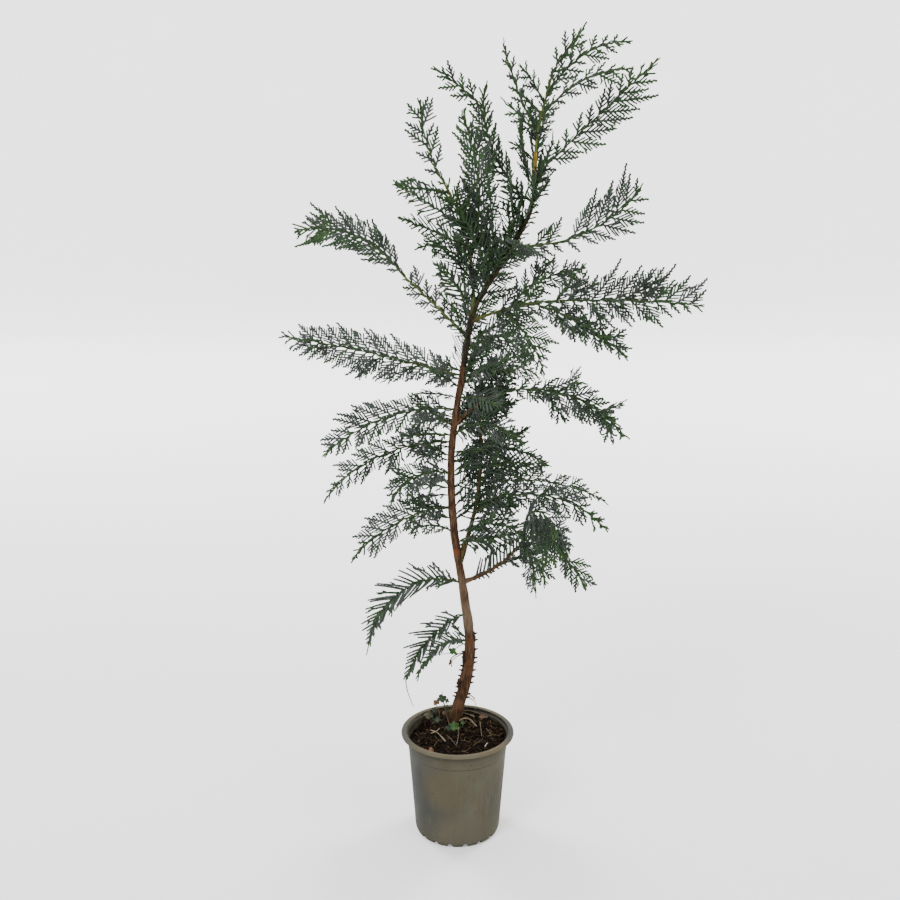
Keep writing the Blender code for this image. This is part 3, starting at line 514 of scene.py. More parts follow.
# Leaf colours, each with its lighter tone
LEAF_COLOURS = {
    "deep": ((0.0115, 0.0210, 0.0115), (0.021, 0.037, 0.019)),
    "blue": ((0.0340, 0.0450, 0.0365), (0.056, 0.071, 0.058)),
    "mid": ((0.0118, 0.0330, 0.0092), (0.022, 0.053, 0.015)),
    "fresh": ((0.0125, 0.0410, 0.0050), (0.022, 0.064, 0.008)),
}
# The part of the crown that each group of fronds belongs to
REGIONS = {"left": "left", "leader": "crown", "centre": "crown", "top": "crown", "right": "right",
           "back": "back", "front": "right", "hanging": "hanging"}
# The chance of each leaf colour near a frond's foot and at its tip
COLOUR_MIXES = {
    "left": ({"deep": 0.12, "blue": 0.73, "mid": 0.15}, {"blue": 0.68, "mid": 0.30, "fresh": 0.02}),
    "leader": ({"deep": 0.40, "blue": 0.30, "mid": 0.30}, {"mid": 0.50, "fresh": 0.50}),
    "centre": ({"deep": 0.55, "blue": 0.20, "mid": 0.25}, {"mid": 0.60, "fresh": 0.40}),
    "top": ({"deep": 0.45, "mid": 0.50, "fresh": 0.05}, {"deep": 0.10, "mid": 0.30, "fresh": 0.60}),
    "right": ({"deep": 0.50, "blue": 0.25, "mid": 0.25},
              {"deep": 0.15, "blue": 0.15, "mid": 0.50, "fresh": 0.20}),
    "hanging": ({"deep": 0.25, "mid": 0.40, "fresh": 0.35}, {"deep": 0.10, "mid": 0.30, "fresh": 0.60}),
    "back": ({"deep": 0.60, "blue": 0.30, "mid": 0.10}, {"deep": 0.40, "blue": 0.20, "mid": 0.40}),
    "front": ({"deep": 0.35, "blue": 0.30, "mid": 0.35}, {"blue": 0.20, "mid": 0.60, "fresh": 0.20}),
}
COLOUR_CHANGE = (0.35, 0.95)  # the stretch of a frond in which the one mix gives way to the other
# Fronds with the colours of another group
COLOURED_LIKE = {"frond_left_11": "leader"}
# The share of side shoots that have fresher tips
FRESH_TIPS = {"left": 0.02, "leader": 0.5, "centre": 0.4, "top": 0.7, "right": 0.3, "back": 0.1,
              "front": 0.3, "hanging": 0.5}

# Bare threads that hang from a frond: its name, the share of its length, the way down
THREADS = (
    ("frond_left_2", 0.90, ((0.0, 0.0, 0.0), (-0.006, 0.0, -0.016), (-0.003, 0.0, -0.038),
                            (0.006, 0.0, -0.064))),
    ("frond_left_1", 0.97, ((0.0, 0.0, 0.0), (-0.002, 0.0, -0.012), (-0.005, 0.0, -0.026))),
)
THREAD_RADIUS = 0.0011
THREAD_THINNING = 0.04
THREAD_SEGMENT = 0.005

# The studio
FLOOR_WHITE = (0.93, 0.93, 0.93)
FLOOR_GLOW = 0.24
FLOOR_STEPS = 96
FLOOR_RINGS = (0.5, 3.0, 6.0)
FLOOR_CURVE = ((7.0, 0.0), (11.0, 0.0), (11.0, 4.0))
FLOOR_CURVE_STEPS = 14
SKY_STRENGTH = 0.80
# Round lamps: name, place, aim, width and power
LAMPS = (
    ("key", (-1.6, -2.4, 3.0), (0.0, 0.0, 0.6), 1.6, 110),
    ("fill", (2.4, -1.6, 1.6), (0.0, 0.0, 0.6), 2.0, 30),
    ("backdrop_light", (-3.5, 3.5, 4.5), (-1.5, 6.5, 0.0), 3.0, 640),
    ("backdrop_light", (3.5, 3.5, 4.5), (1.5, 6.5, 0.0), 3.0, 640),
)
CAMERA_PLACE = (-0.0127, -1.75, 1.092)
CAMERA_TILT = 13.65  # degrees down from level
CAMERA_FOCUS = 1132 / 900  # focal length as a share of the picture's width
SENSOR = 36.0


def smoothstep(low, high, value):
    """0 up to low, 1 from high on, and a smooth climb between them."""
    share = min(1.0, max(0.0, (value - low) / (high - low)))
    return share * share * (3 - 2 * share)


# Paths, as in the solids


class Path:
    """A tapering route: its points, the radius at each, and the share of its length at each."""

    def __init__(self, points, radii):
        self.points = points
        self.radii = radii
        steps = [(b - a).length for a, b in zip(points, points[1:])]
        self.length = sum(steps)
        self.shares = [0.0]
        for step in steps:
            self.shares.append(self.shares[-1] + step / self.length)

    def at(self, share):
        """Return the point, direction and radius at a share of the length."""
        last = len(self.points) - 2
        index = next((i for i in range(last) if self.shares[i + 1] > share), last)
        start, end = self.points[index], self.points[index + 1]
        span = self.shares[index + 1] - self.shares[index]
        part = (share - self.shares[index]) / span
        radius = self.radii[index] + (self.radii[index + 1] - self.radii[index]) * part
        return start.lerp(end, part), (end - start).normalized(), radius


def heading(bearing, climb):
    """Unit vector for a bearing and a climb in degrees."""
    turn, rise = math.radians(bearing), math.radians(climb)
    return Vector((math.cos(rise) * math.cos(turn), math.cos(rise) * math.sin(turn), math.sin(rise)))


def bend(start, row, segment, foot_radius, tip_radius):
    """Path of a limb or frond that bends evenly from its foot climb to its tip climb."""
    count = max(2, round(row.length / segment))
    points, radii = [start], [foot_radius]
    for step in range(count):
        share = (step + 0.5) / count
        climb = row.climb_foot + (row.climb_tip - row.climb_foot) * share
        points.append(points[-1] + heading(row.bearing, climb) * (row.length / count))
        radii.append(foot_radius + (tip_radius - foot_radius) * (step + 1) / count)
    return Path(points, radii)


def leave(carrier, row, foot_radius):
    """Where a limb or frond comes out of its carrier."""
    point, along, radius = carrier.at(row.at)
    way = heading(row.bearing, row.climb_foot)
    if row.at == 1.0:
        return point + way * GAP
    angle = way.angle(along)
    reach = (radius + GAP + foot_radius * abs(math.cos(angle))) / math.sin(angle)
    return point + way * reach


def rooted(path, inside):
    """The same path, carried back to a point inside its carrier."""
    return Path([inside] + path.points, [path.radii[0]] + path.radii)


def smooth_route(bends, segment):
    """Points on a smooth curve through the bends, about a segment apart."""
    knots = [Vector(b) for b in bends]
    knots = [2 * knots[0] - knots[1]] + knots + [2 * knots[-1] - knots[-2]]
    points = []
    for before, start, end, after in zip(knots, knots[1:], knots[2:], knots[3:]):
        count = max(1, round((end - start).length / segment))
        for step in range(count):
            t = step / count
            curve = 2 * start + (end - before) * t
            curve += (2 * before - 5 * start + 4 * end - after) * t**2
            curve += (3 * start - before - 3 * end + after) * t**3
            points.append(curve / 2)
    points.append(knots[-2])
    return points


def stem_radius(height):
    """The radius between two bends, with the root flare added."""
    heights = [bend_at[2] for bend_at in STEM_BENDS]
    low = next((i for i, top in enumerate(heights[1:-1]) if height < top), len(heights) - 2)
    part = (height - heights[low]) / (heights[low + 1] - heights[low])
    radius = STEM_RADII[low] + (STEM_RADII[low + 1] - STEM_RADII[low]) * part
    return radius + FLARE * math.exp((heights[0] - height) / FLARE_HEIGHT)


def trunk_path(segment):
    """The main stem, in steps of about a segment."""
    points = smooth_route(STEM_BENDS, segment)
    return Path(points, [stem_radius(point.z) for point in points])


def frond_route(routes, row):
    """Path of a frond's stem, from the surface of its carrier."""
    foot_radius = RACHIS_RADIUS + RACHIS_GROWTH * row.length
    start = leave(routes[row.carrier], row, foot_radius)
    return bend(start, row, RACHIS_SEGMENT, foot_radius, RACHIS_TIP_RADIUS)


def make_routes():
    """The path of every stem of the solids, by its name."""
    routes = {"trunk": trunk_path(STEM_SEGMENT)}
    for row in LIMBS:
        start = leave(routes[row.carrier], row, row.foot_radius)
        routes[row.name] = bend(start, row, LIMB_SEGMENT, row.foot_radius, row.tip_radius)
    for row in FRONDS:
        routes[row.name] = frond_route(routes, row)
    return routes


# Meshes from arrays


class Solids:
    """Vertices and faces of many small closed solids that become one mesh."""

    def __init__(self):
        self.verts = []
        self.quads = []
        self.tris = []
        self.count = 0

    def add(self, verts, quads=None, tris=None):
        """Add a solid. Its faces count its own vertices from 0."""
        self.verts.append(np.asarray(verts, np.float32).reshape(-1, 3))
        if quads is not None:
            self.quads.append(np.asarray(quads) + self.count)
        if tris is not None:
            self.tris.append(np.asarray(tris) + self.count)
        self.count += len(self.verts[-1])

    def mesh(self, name, smooth=True):
        """Everything that was added, as one mesh."""
        verts = np.concatenate(self.verts)
        faces = [np.concatenate(kind) for kind in (self.quads, self.tris) if kind]
        sizes = np.concatenate([np.full(len(f), f.shape[1]) for f in faces])
        corners = np.concatenate([f.ravel() for f in faces])
        mesh = bpy.data.meshes.new(name)
        mesh.vertices.add(len(verts))
        mesh.vertices.foreach_set("co", verts.ravel())
        mesh.loops.add(len(corners))
        mesh.loops.foreach_set("vertex_index", corners.astype(np.int32))
        mesh.polygons.add(len(sizes))
        starts = np.concatenate([[0], np.cumsum(sizes)[:-1]])
        mesh.polygons.foreach_set("loop_start", starts.astype(np.int32))
        mesh.update(calc_edges=True)
        mesh.validate()
        if smooth:
            mesh.shade_smooth()
        return mesh


def ring_faces(rings, sides, tube_count=1):
    """Quads and end triangles of tubes: each has its first pole, its rings and its last pole."""
    per_tube = rings * sides + 2
    side = np.arange(sides)
    after = (side + 1) % sides
    quads = []
    for ring in range(rings - 1):
        low = 1 + ring * sides
        quads.append(np.stack([low + side, low + after, low + sides + after, low + sides + side], 1))
    last = 1 + (rings - 1) * sides
    foot = np.stack([np.zeros(sides, int), 1 + after, 1 + side], 1)
    tip = np.stack([np.full(sides, per_tube - 1), last + side, last + after], 1)
    shift = (np.arange(tube_count) * per_tube)[:, None, None]
    quads = (np.concatenate(quads)[None] + shift).reshape(-1, 4) if quads else None
    tris = (np.concatenate([foot, tip])[None] + shift).reshape(-1, 3)
    return quads, tris


def unit(vectors):
    """The vectors of an array, each with length 1."""
    return vectors / np.linalg.norm(vectors, axis=-1, keepdims=True)


def add_twigs(solids, rows, scaly=True):
    """Thin flat twigs, each row its start, way, way at the tip, flat side, length and half widths."""
    data = np.array(rows, float)
    start, way, end_way, flat = (data[:, i:i + 3] for i in (0, 3, 6, 9))
    length, foot, tip = data[:, 12], data[:, 13], data[:, 14]
    scales = np.maximum(2, np.round(length / SCALE_PITCH)).astype(int)
    for count in np.unique(scales):
        pick = scales == count
        leaf = np.repeat(np.arange(count), 2)
        steps = leaf + np.tile((0.0, SCALE_FLARE_AT), count)
        share = (steps / count)[None, :, None]
        wide = np.tile((SCALE_FOOT, 1.0), count) if scaly else np.ones(2 * count)
        side_on = np.where(leaf % 2 == 0, *PAIR_WIDTHS)
        face_on = SCALE_THICKNESS * np.where(leaf % 2 == 0, *PAIR_THICKNESSES)
        begin, out, bent = start[pick, None], way[pick, None], end_way[pick, None]
        span = length[pick][:, None, None]
        centre = begin + span * (out * share + (bent - out) * share**2 / 2)
        along = unit(out + (bent - out) * share)
        across = unit(np.cross(np.broadcast_to(flat[pick, None], along.shape), along))
        up = np.cross(along, across)
        half = foot[pick, None] + (tip - foot)[pick, None] * share[..., 0]
        half = (half * wide)[..., None]
        across = across * half * side_on[None, :, None]
        up = up * half * face_on[None, :, None]
        rings = np.stack([centre + across, centre + up, centre - across, centre - up], 2)
        rings = rings.reshape(len(rings), -1, 3)
        end = begin + span * (out + bent) / 2
        verts = np.concatenate([begin, rings, end], 1)
        quads, tris = ring_faces(2 * count, 4, len(verts))
        solids.add(verts, quads, tris)


def add_tube(solids, points, radius_at, sides):
    """A closed tube along the points. radius_at(index, turn) is its radius at a point and angle."""
    count = len(points)
    ways = [(points[min(i + 1, count - 1)] - points[max(i - 1, 0)]).normalized() for i in range(count)]
    across = ways[0].orthogonal().normalized()
    verts = [points[0]]
    for index, (point, way) in enumerate(zip(points, ways)):
        across = (across - way * across.dot(way)).normalized()
        other = way.cross(across)
        for step in range(sides):
            turn = math.tau * step / sides
            out = across * math.cos(turn) + other * math.sin(turn)
            verts.append(point + out * radius_at(index, turn))
    verts.append(points[-1])
    quads, tris = ring_faces(count, sides)
    solids.add([tuple(v) for v in verts], quads, tris)


def round_points(radius, steps):
    """Yield the turn, x and y of points on a circle round the pot's axis."""
    for step in range(steps):
        turn = math.tau * step / steps
        yield turn, radius * math.cos(turn), radius * math.sin(turn)


def put_in_scene(name, data):
    """A new object with a mesh, a lamp or a camera."""
    thing = bpy.data.objects.new(name, data)
    bpy.context.scene.collection.objects.link(thing)
    return thing


def place(mesh, material, slot, replaced=()):
    """Put a mesh into the scene as a piece of the plant."""
    piece = put_in_scene(mesh.name, mesh)
    mesh.materials.append(material)
    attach(piece, BODY)
    if replaced:
        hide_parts(*replaced)


# Materials


class Look:
    """A material in the making, with what its nodes need."""

    def __init__(self, name, roughness, specular=0.5):
        self.material = bpy.data.materials.new(name)
        self.material.use_nodes = True
        self.tree = self.material.node_tree
        self.shader = self.tree.nodes["Principled BSDF"]
        self.shader.inputs["Roughness"].default_value = roughness
        self.shader.inputs["Specular IOR Level"].default_value = specular
        self.where = self.node("TexCoord", {})["Object"]

    def node(self, kind, inputs, **settings):
        """Add a node and return its outputs. An input is a plain value or another node's output."""
        made = self.tree.nodes.new("ShaderNode" + kind)
        for name, value in settings.items():
            setattr(made, name, value)
        for name, value in inputs.items():
            if isinstance(value, bpy.types.NodeSocket):
                self.tree.links.new(value, made.inputs[name])
            else:
                made.inputs[name].default_value = value
        return made.outputs

    def noise(self, scale, detail=4.0, roughness=0.55, stretch=None):
        """Cloudy values round 0.5. A stretch under 1 draws them out along that axis."""
        where = self.where
        if stretch:
            where = self.node("Mapping", {"Vector": where, "Scale": stretch})["Vector"]
        inputs = {"Vector": where, "Scale": scale, "Detail": detail, "Roughness": roughness}
        return self.node("TexNoise", inputs)["Fac"]

    def ramp(self, value, stops):
        """A colour that follows a value through (position, colour) stops."""
        made = self.tree.nodes.new("ShaderNodeValToRGB")
        elements = made.color_ramp.elements
        while len(elements) < len(stops):
            elements.new(0.5)
        for element, (position, colour) in zip(elements, stops):
            element.position = position
            element.color = (*colour, 1.0)
        self.tree.links.new(value, made.inputs["Fac"])
        return made.outputs["Color"]

    def mix(self, share, colour, other):
        """A colour with a share of another over it, which may be a plain colour."""
        if isinstance(other, tuple):
            other = (*other, 1.0)
        return self.node("Mix", {"Factor": share, "A": colour, "B": other}, data_type="RGBA")["Result"]

    def times(self, one, other):
        """The product of two values."""
        return self.node("Math", {0: one, 1: other}, operation="MULTIPLY")["Value"]

    def falling(self, value, full, none):
        """1 where a value is at full, falling evenly to 0 where it is at none."""
        inputs = {"Value": value, "From Min": full, "From Max": none, "To Min": 1.0, "To Max": 0.0}
        return self.node("MapRange", inputs)["Result"]

    def band(self, value, low, high, fade):
        """1 between two values, fading to 0 beyond them."""
        return self.times(self.falling(value, high, high + fade), self.falling(value, low, low - fade))

    def near(self, spot, full, none):
        """1 within a distance from a spot, falling to 0 at a longer one."""
        distance = self.node("VectorMath", {0: self.where, 1: spot}, operation="DISTANCE")["Value"]
        return self.falling(distance, full, none)

    def height(self):
        """How high each point lies."""
        return self.node("SeparateXYZ", {"Vector": self.where})["Z"]

    def patched(self, colour, patches, strength=1.0):
        """A colour with soft-edged patches: each has its middle, its reach and its own colour."""
        for spot, reach, tone in patches:
            share = self.times(self.near(spot, reach * PATCH_CORE, reach), strength)
            colour = self.mix(share, colour, tone)
        return colour

    def done(self, colour, grain=None, strength=0.0, depth=0.0):
        """The material, with its base colour and the fine relief of its grain."""
        self.tree.links.new(colour, self.shader.inputs["Base Color"])
        if grain:
            inputs = {"Height": grain, "Strength": strength, "Distance": depth}
            self.tree.links.new(self.node("Bump", inputs)["Normal"], self.shader.inputs["Normal"])
        return self.material


def tinted(colour, factor):
    """A colour made darker or lighter."""
    return tuple(min(1.0, c * factor) for c in colour)


def leaf_material(name, colour, light):
    """Scale leaves: a base colour that wavers between a darker and a lighter tone."""
    look = Look(name, 0.52, 0.35)
    tone = look.noise(55.0, 2.0)
    colours = look.ramp(tone, ((0.32, tinted(colour, 0.72)), (0.52, colour), (0.72, light)))
    return look.done(colours, look.noise(900.0, 1.0), 0.25, 0.0003)


def bark_material(name, patches=(), pale=()):
    """Fibrous bark: streaks along the stem, with darker cracks between them."""
    dark, middle, light, scale, relief = BARKS[name]
    look = Look(name, 0.86, 0.12)
    fibres = look.noise(scale, 5.0, 0.65, FIBRE_STRETCH)
    blotches = look.noise(scale / 9, 3.0)
    streaks = look.ramp(fibres, ((0.36, dark), (0.50, middle), (0.66, light)))
    dim = look.ramp(blotches, ((0.40, dark), (0.60, middle)))
    colour = look.mix(look.times(blotches, 0.55), streaks, dim)
    colour = look.patched(colour, pale, PALE_STRENGTH)
    return look.done(look.patched(colour, patches), fibres, 0.7, relief)


def pot_material():
    """Olive-grey moulded plastic: clouded, streaked and dusty on its lip, with a painted grey
    reflection at the sides, painted shade in its moulded line and under its lip, and a darker foot.
    """
    look = Look("pot_plastic", 0.6, 0.10)
    height = look.height()
    cloud = look.noise(16.0, 5.0, 0.6, (1.0, 1.0, 0.45))
    colour = look.patched(look.ramp(cloud, POT_TONES), POT_PATCHES_AND_REFLECTIONS)
    rubs = look.noise(75.0, 6.0, 0.75, (1.6, 1.6, 0.22))
    scuffs = look.times(look.falling(rubs, 0.78, 0.56), 0.45)
    colour = look.mix(scuffs, colour, POT_MARKS["scuff"])
    streaky = look.noise(130.0, 3.0, 0.6, (1.0, 1.0, 0.10))
    streaks = look.near(STREAKS_AT, 0.020, 0.046)
    rust = look.times(streaks, look.falling(streaky, 0.66, 0.54))
    pale = look.times(look.times(streaks, look.falling(streaky, 0.32, 0.44)), 0.5)
    colour = look.mix(rust, colour, POT_MARKS["rust"])
    colour = look.mix(pale, colour, POT_MARKS["pale"])
    specks = look.falling(look.noise(320.0, 2.0, 0.5), 0.27, 0.31)
    colour = look.mix(specks, colour, POT_MARKS["speck"])
    # Painted shade in the moulded line, a painted shadow under the lip, and a darker foot
    for low, high, fade, share in SHADE_AND_GRIME:
        shade_and_dirt = look.times(look.band(height, low, high, fade), share)
        colour = look.mix(shade_and_dirt, colour, POT_MARKS["shade_and_dirt"])
    # The lip's dust, with the painted reflection on its sides
    dust = look.patched(look.ramp(cloud, LIP_TONES), LIP_PATCHES_AND_REFLECTIONS)
    dusty = look.falling(height, POT_HEIGHT - 0.8 * LIP_DEPTH, POT_HEIGHT - 1.1 * LIP_DEPTH)
    colour = look.mix(look.times(dusty, 0.85), colour, dust)
    look.tree.links.new(look.ramp(cloud, POT_ROUGHNESS), look.shader.inputs["Roughness"])
    return look.done(colour, look.noise(700.0, 2.0), 0.12, 0.0004)


def stained_and_shaded_material():
    """The pot's inside: water stains darkened into painted shade, running down from a paler ring of painted
    light on the ledge.
    """
    look = Look("pot_stained", 0.6, 0.25)
    runs = look.noise(110.0, 5.0, 0.7, (1.4, 1.4, 0.25))
    # Dark stains that also stand for painted shade inside the pot
    colour = look.ramp(runs, STAIN_AND_SHADE_TONES)
    colour = look.mix(look.near(BARE_WALL_AT, 0.030, 0.044), colour, look.ramp(runs, BARE_WALL_TONES))
    # A paler ring of painted light on the ledge's top
    ring = look.band(look.height(), LEDGE_AT - 0.0003, LEDGE_AT + 0.0006, 0.0004)
    colour = look.mix(look.times(ring, 0.7), colour, POT_MARKS["ring"])
    return look.done(colour, runs, 0.2, 0.0005)


def crumb_material(name, dark, light, scale=260.0):
    """Crumbly, fibrous stuff: two tones in fine grains."""
    look = Look(name, 0.95, 0.08)
    grains = look.noise(scale, 5.0, 0.7)
    return look.done(look.ramp(grains, ((0.35, dark), (0.68, light))), grains, 0.8, 0.0012)


def floor_material():
    """Nearly even white that glows a little, so that the shadows on it stay pale."""
    look = Look("studio_floor", 0.9)
    tones = ((0.3, tinted(FLOOR_WHITE, 0.985)), (0.7, FLOOR_WHITE))
    look.shader.inputs["Emission Color"].default_value = (1.0, 1.0, 1.0, 1.0)
    look.shader.inputs["Emission Strength"].default_value = FLOOR_GLOW
    return look.done(look.ramp(look.noise(1.5, 2.0), tones))


# Foliage


def reach_share(share, fall):
    """How much of the frond's width its side shoots reach at a share of its length."""
    opening = min(1.0, REACH_AT_FOOT + REACH_GROWTH * share)
    closing = min(1.0, REACH_AT_TIP + fall * (1.0 - share))
    return opening * closing


def group_of(row):
    """The group in the name of a frond or spray."""
    return row.name.split("_")[1]


def frond_style(row):
    """The style of a frond's side shoots."""
    short = row.name.removeprefix("frond_")
    return STYLES[next((style for style, names in FROND_STYLES.items() if short in names), "fern")]


def flat_side(row, along):
    """The direction across the frond's flat side, at right angles to its stem."""
    turn = math.radians(row.bearing)
    level = Vector((-math.sin(turn), math.cos(turn), 0))
    return Quaternion(along, math.radians(row.roll)) @ (level - along * level.dot(along))


def side_shoots(row, path, style, dice):
    """Yield the share, foot, way, frond's way, spread and length of each side shoot."""
    count = int((path.length - FIRST_SHOOT) / style.spacing)
    for index in range(count):
        reached = FIRST_SHOOT + style.spacing * (index + dice.uniform(-SPACING_SPREAD, SPACING_SPREAD))
        share = reached / path.length
        foot, along, _ = path.at(share)
        spread = flat_side(row, along)
        side = 1 if index % 2 else -1
        angle = style.lean_foot + (style.lean_tip - style.lean_foot) * share
        is_upper = side * spread.z > 0
        angle *= 1.0 if is_upper else style.under
        lean = math.radians(angle + dice.uniform(-ANGLE_SPREAD, ANGLE_SPREAD))
        way = along * math.cos(lean) + spread * (side * math.sin(lean))
        way.z -= SHOOT_DROOP
        width = row.upper if is_upper else row.lower
        length = min(SHOOT_LONGEST, width * reach_share(share, style.fall) / math.sin(lean))
        length *= dice.uniform(*LENGTH_SPREAD)
        yield share, foot, way.normalized(), along, spread, length


def twig_share(share):
    """How long a shoot's twigs are, from its foot to its tip, as a share of the longest."""
    return min(1.0, TWIGS_AT_FOOT + TWIG_GROWTH * share, TWIG_FADE * (1.0 - share) ** TWIG_FADE_POWER)


def twig_row(start, way, end_way, flat, length, foot, tip):
    """One twig as a row of numbers: foot and tip are its half widths there."""
    return (*start, *way, *end_way, *flat, length, foot, tip)


def along_curve(start, way, end_way, length, share):
    """The point at a share of a twig that turns evenly from its way at the foot to that at its tip."""
    return start + (way * share + (end_way - way) * (share * share / 2)) * length


def turned(way, across, degrees):
    """A way turned towards another at right angles to it."""
    angle = math.radians(degrees)
    return (way * math.cos(angle) + across * math.sin(angle)).normalized()


def fork_twigs(add, start, way, end_way, flat, length, dice):
    """Two short stubs in a twig's outer half."""
    for share, side in zip(STUB_AT, (1, -1)):
        base = along_curve(start, way, end_way, length, share)
        stub_way = turned(way, flat.cross(way).normalized() * side, STUB_LEAN)
        size = length * dice.uniform(*STUB_LENGTHS)
        add(twig_row(base, stub_way, way, flat, size, TWIG_HALF_WIDTH, TIP_HALF_WIDTH), 1.0)


def grow_shoot(add, foot, way, along, spread, length, style, plain, dice):
    """A side shoot with its twigs. add(row, share) keeps a twig and how far out on the shoot it is."""
    flat = way.cross(spread).normalized()
    rise = style.rise if way.z > along.z else 0.0
    end_way = (way + along * style.curl + Vector((0, 0, rise))).normalized()
    add(twig_row(foot, way, end_way, flat, length, SHOOT_HALF_WIDTH * style.girth, TIP_HALF_WIDTH), 0.0)
    if plain:
        if length > STUB_FROM and dice.random() < 2 * STUB_CHANCE:
            fork_twigs(add, foot, way, end_way, flat, min(length, 3 * STUB_FROM), dice)
        return
    count = int((length - FIRST_TWIG) / style.twig_spacing)
    for index in range(count):
        share = index + dice.uniform(-TWIG_SPACING_SPREAD, TWIG_SPACING_SPREAD)
        share = (FIRST_TWIG + style.twig_spacing * share) / length
        reach = min(TWIG_LONGEST, style.twig_length * length) * twig_share(share)
        reach = max(reach * dice.uniform(*TWIG_LENGTH_SPREAD), TWIG_SHORTEST)
        here = (way + (end_way - way) * share).normalized()
        start = along_curve(foot, way, end_way, length, min(share, TWIGS_END))
        across = flat.cross(here).normalized() * (1 if index % 2 else -1)
        lean = style.twig_lean * (TWIG_LEAN_AT_FOOT - TWIG_LEAN_LOSS * share)
        out = turned(here, across, lean + dice.uniform(-TWIG_ANGLE_SPREAD, TWIG_ANGLE_SPREAD))
        out = (out + flat * dice.uniform(-TWIG_LIFT, TWIG_LIFT)).normalized()
        bent = (out + here * TWIG_CURL).normalized()
        add(twig_row(start, out, bent, flat, reach, TWIG_HALF_WIDTH * style.girth, TIP_HALF_WIDTH), share)
        if reach > STUB_FROM and dice.random() < STUB_CHANCE:
            fork_twigs(add, start, out, bent, flat, reach, dice)


def hug_stem(add, row, path, dice):
    """Short scaly twigs that lie close along a frond's stem."""
    for index in range(int(path.length / HUG_SPACING)):
        share = (index + dice.random()) * HUG_SPACING / path.length
        if share > HUG_END:
            continue
        foot, along, radius = path.at(share)
        in_axil = index % AXIL_EVERY == 0
        if in_axil:
            turn = dice.choice((0.0, math.pi)) + dice.gauss(0, AXIL_SPREAD)
        else:
            turn = dice.uniform(0, math.tau)
        across = Quaternion(along, turn) @ flat_side(row, along)
        way = turned(along, across, AXIL_LEAN if in_axil else HUG_LEAN)
        size = (AXIL_LENGTH if in_axil else HUG_LENGTH) * dice.uniform(*HUG_LENGTH_SPREAD) + 2 * radius
        add(twig_row(foot, way, along, along.cross(across), size, TWIG_HALF_WIDTH, TIP_HALF_WIDTH), share)


def deal_colour(group, share, dice):
    """A leaf colour for a spray at a share of its frond's length."""
    at_foot, at_tip = COLOUR_MIXES[group]
    part = smoothstep(*COLOUR_CHANGE, share)
    chances = [at_foot.get(c, 0) * (1 - part) + at_tip.get(c, 0) * part for c in LEAF_COLOURS]
    return dice.choices(list(LEAF_COLOURS), chances)[0]


def fresher(colour):
    """The next lighter leaf colour, no further than fresh growth."""
    return {"deep": "mid", "blue": "mid", "mid": "fresh"}.get(colour, colour)


def grow_frond(row, path, group, style, keep):
    """The twigs along one stem. keep(colour, twig) takes each of them."""
    dice = random.Random(f"{row} {group}")
    for share, foot, way, along, spread, length in side_shoots(row, path, style, dice):
        colour = deal_colour(group, share, dice)
        outer = fresher(colour) if dice.random() < FRESH_TIPS[group] else colour
        plain = share > style.plain_from + dice.uniform(-PLAIN_SPREAD, PLAIN_SPREAD)

        def add(twig, reached):
            keep(outer if reached > OUTER_FROM else colour, twig)

        grow_shoot(add, foot, way, along, spread, length, style, plain, dice)
    hug_stem(lambda twig, share: keep("mid" if share < HUG_FRESH_FROM else "fresh", twig), row, path, dice)


def stretch(path, start, end):
    """The part of a path between two shares of its length."""
    count = max(2, round(path.length * (end - start) / RACHIS_SEGMENT))
    spots = [path.at(start + (end - start) * min(step / count, 0.9999)) for step in range(count + 1)]
    return Path([spot for spot, _, _ in spots], [radius for _, _, radius in spots])


def thicket_rows(thicket, index_of, path):
    """Rows of the small sprays of a thicket."""
    dice = random.Random(f"thicket {index_of}")
    count = int(path.length * (thicket.end - thicket.start) / thicket.spacing)
    for index in range(count):
        name = f"spray_{thicket.group}_{index_of}_{index}"
        share = thicket.start + (thicket.end - thicket.start) * (index + dice.random()) / count
        climb = dice.uniform(*thicket.climbs)
        width = thicket.width * dice.uniform(*THICKET_WIDTHS)
        bearing, length = dice.uniform(*thicket.bearings), dice.uniform(*thicket.lengths)
        climb_tip = climb + dice.uniform(*CLIMB_CHANGES)
        roll = dice.uniform(*THICKET_ROLLS)
        yield Frond(name, thicket.carrier, share, bearing, length, climb, climb_tip, roll, width, width)


def keeper(twigs, region):
    """What files a twig of a region under its colour."""
    return lambda colour, twig: twigs[region, colour].append(twig)


def grow_foliage(routes):
    """Twig rows by region and colour, and the stems of fronds and sprays by region."""
    twigs = defaultdict(list)
    stems = defaultdict(Solids)
    rows = [(row, frond_style(row)) for row in FRONDS]
    for index, thicket in enumerate(THICKETS):
        style = STYLES[thicket.style]
        rows += [(row, style) for row in thicket_rows(thicket, index, routes[thicket.carrier])]
    for row, style in rows:
        region = REGIONS[group_of(row)]
        path = routes.get(row.name) or frond_route(routes, row)
        grow_frond(row, path, COLOURED_LIKE.get(row.name, group_of(row)), style, keeper(twigs, region))
        whole = rooted(path, routes[row.carrier].at(row.at)[0])

        def radius_at(index, turn):
            return whole.radii[index] * (1.0 + RACHIS_KNOTS * (index % 2))

        add_tube(stems[region], whole.points, radius_at, RACHIS_SIDES)
    for row in DRESSINGS:
        path = stretch(routes[row.carrier], row.start, row.end)
        grow_frond(row, path, row.group, STYLES[row.style], keeper(twigs, REGIONS[row.group]))
    return twigs, stems


def hang_threads(solids, routes):
    """Bare threads below the tips of the lowest fronds."""
    for name, share, drops in THREADS:
        start = routes[name].at(share)[0]
        points = smooth_route([start + Vector(drop) for drop in drops], THREAD_SEGMENT)
        add_tube(solids, points, lambda i, turn: THREAD_RADIUS * (1.0 - THREAD_THINNING * i), 5)


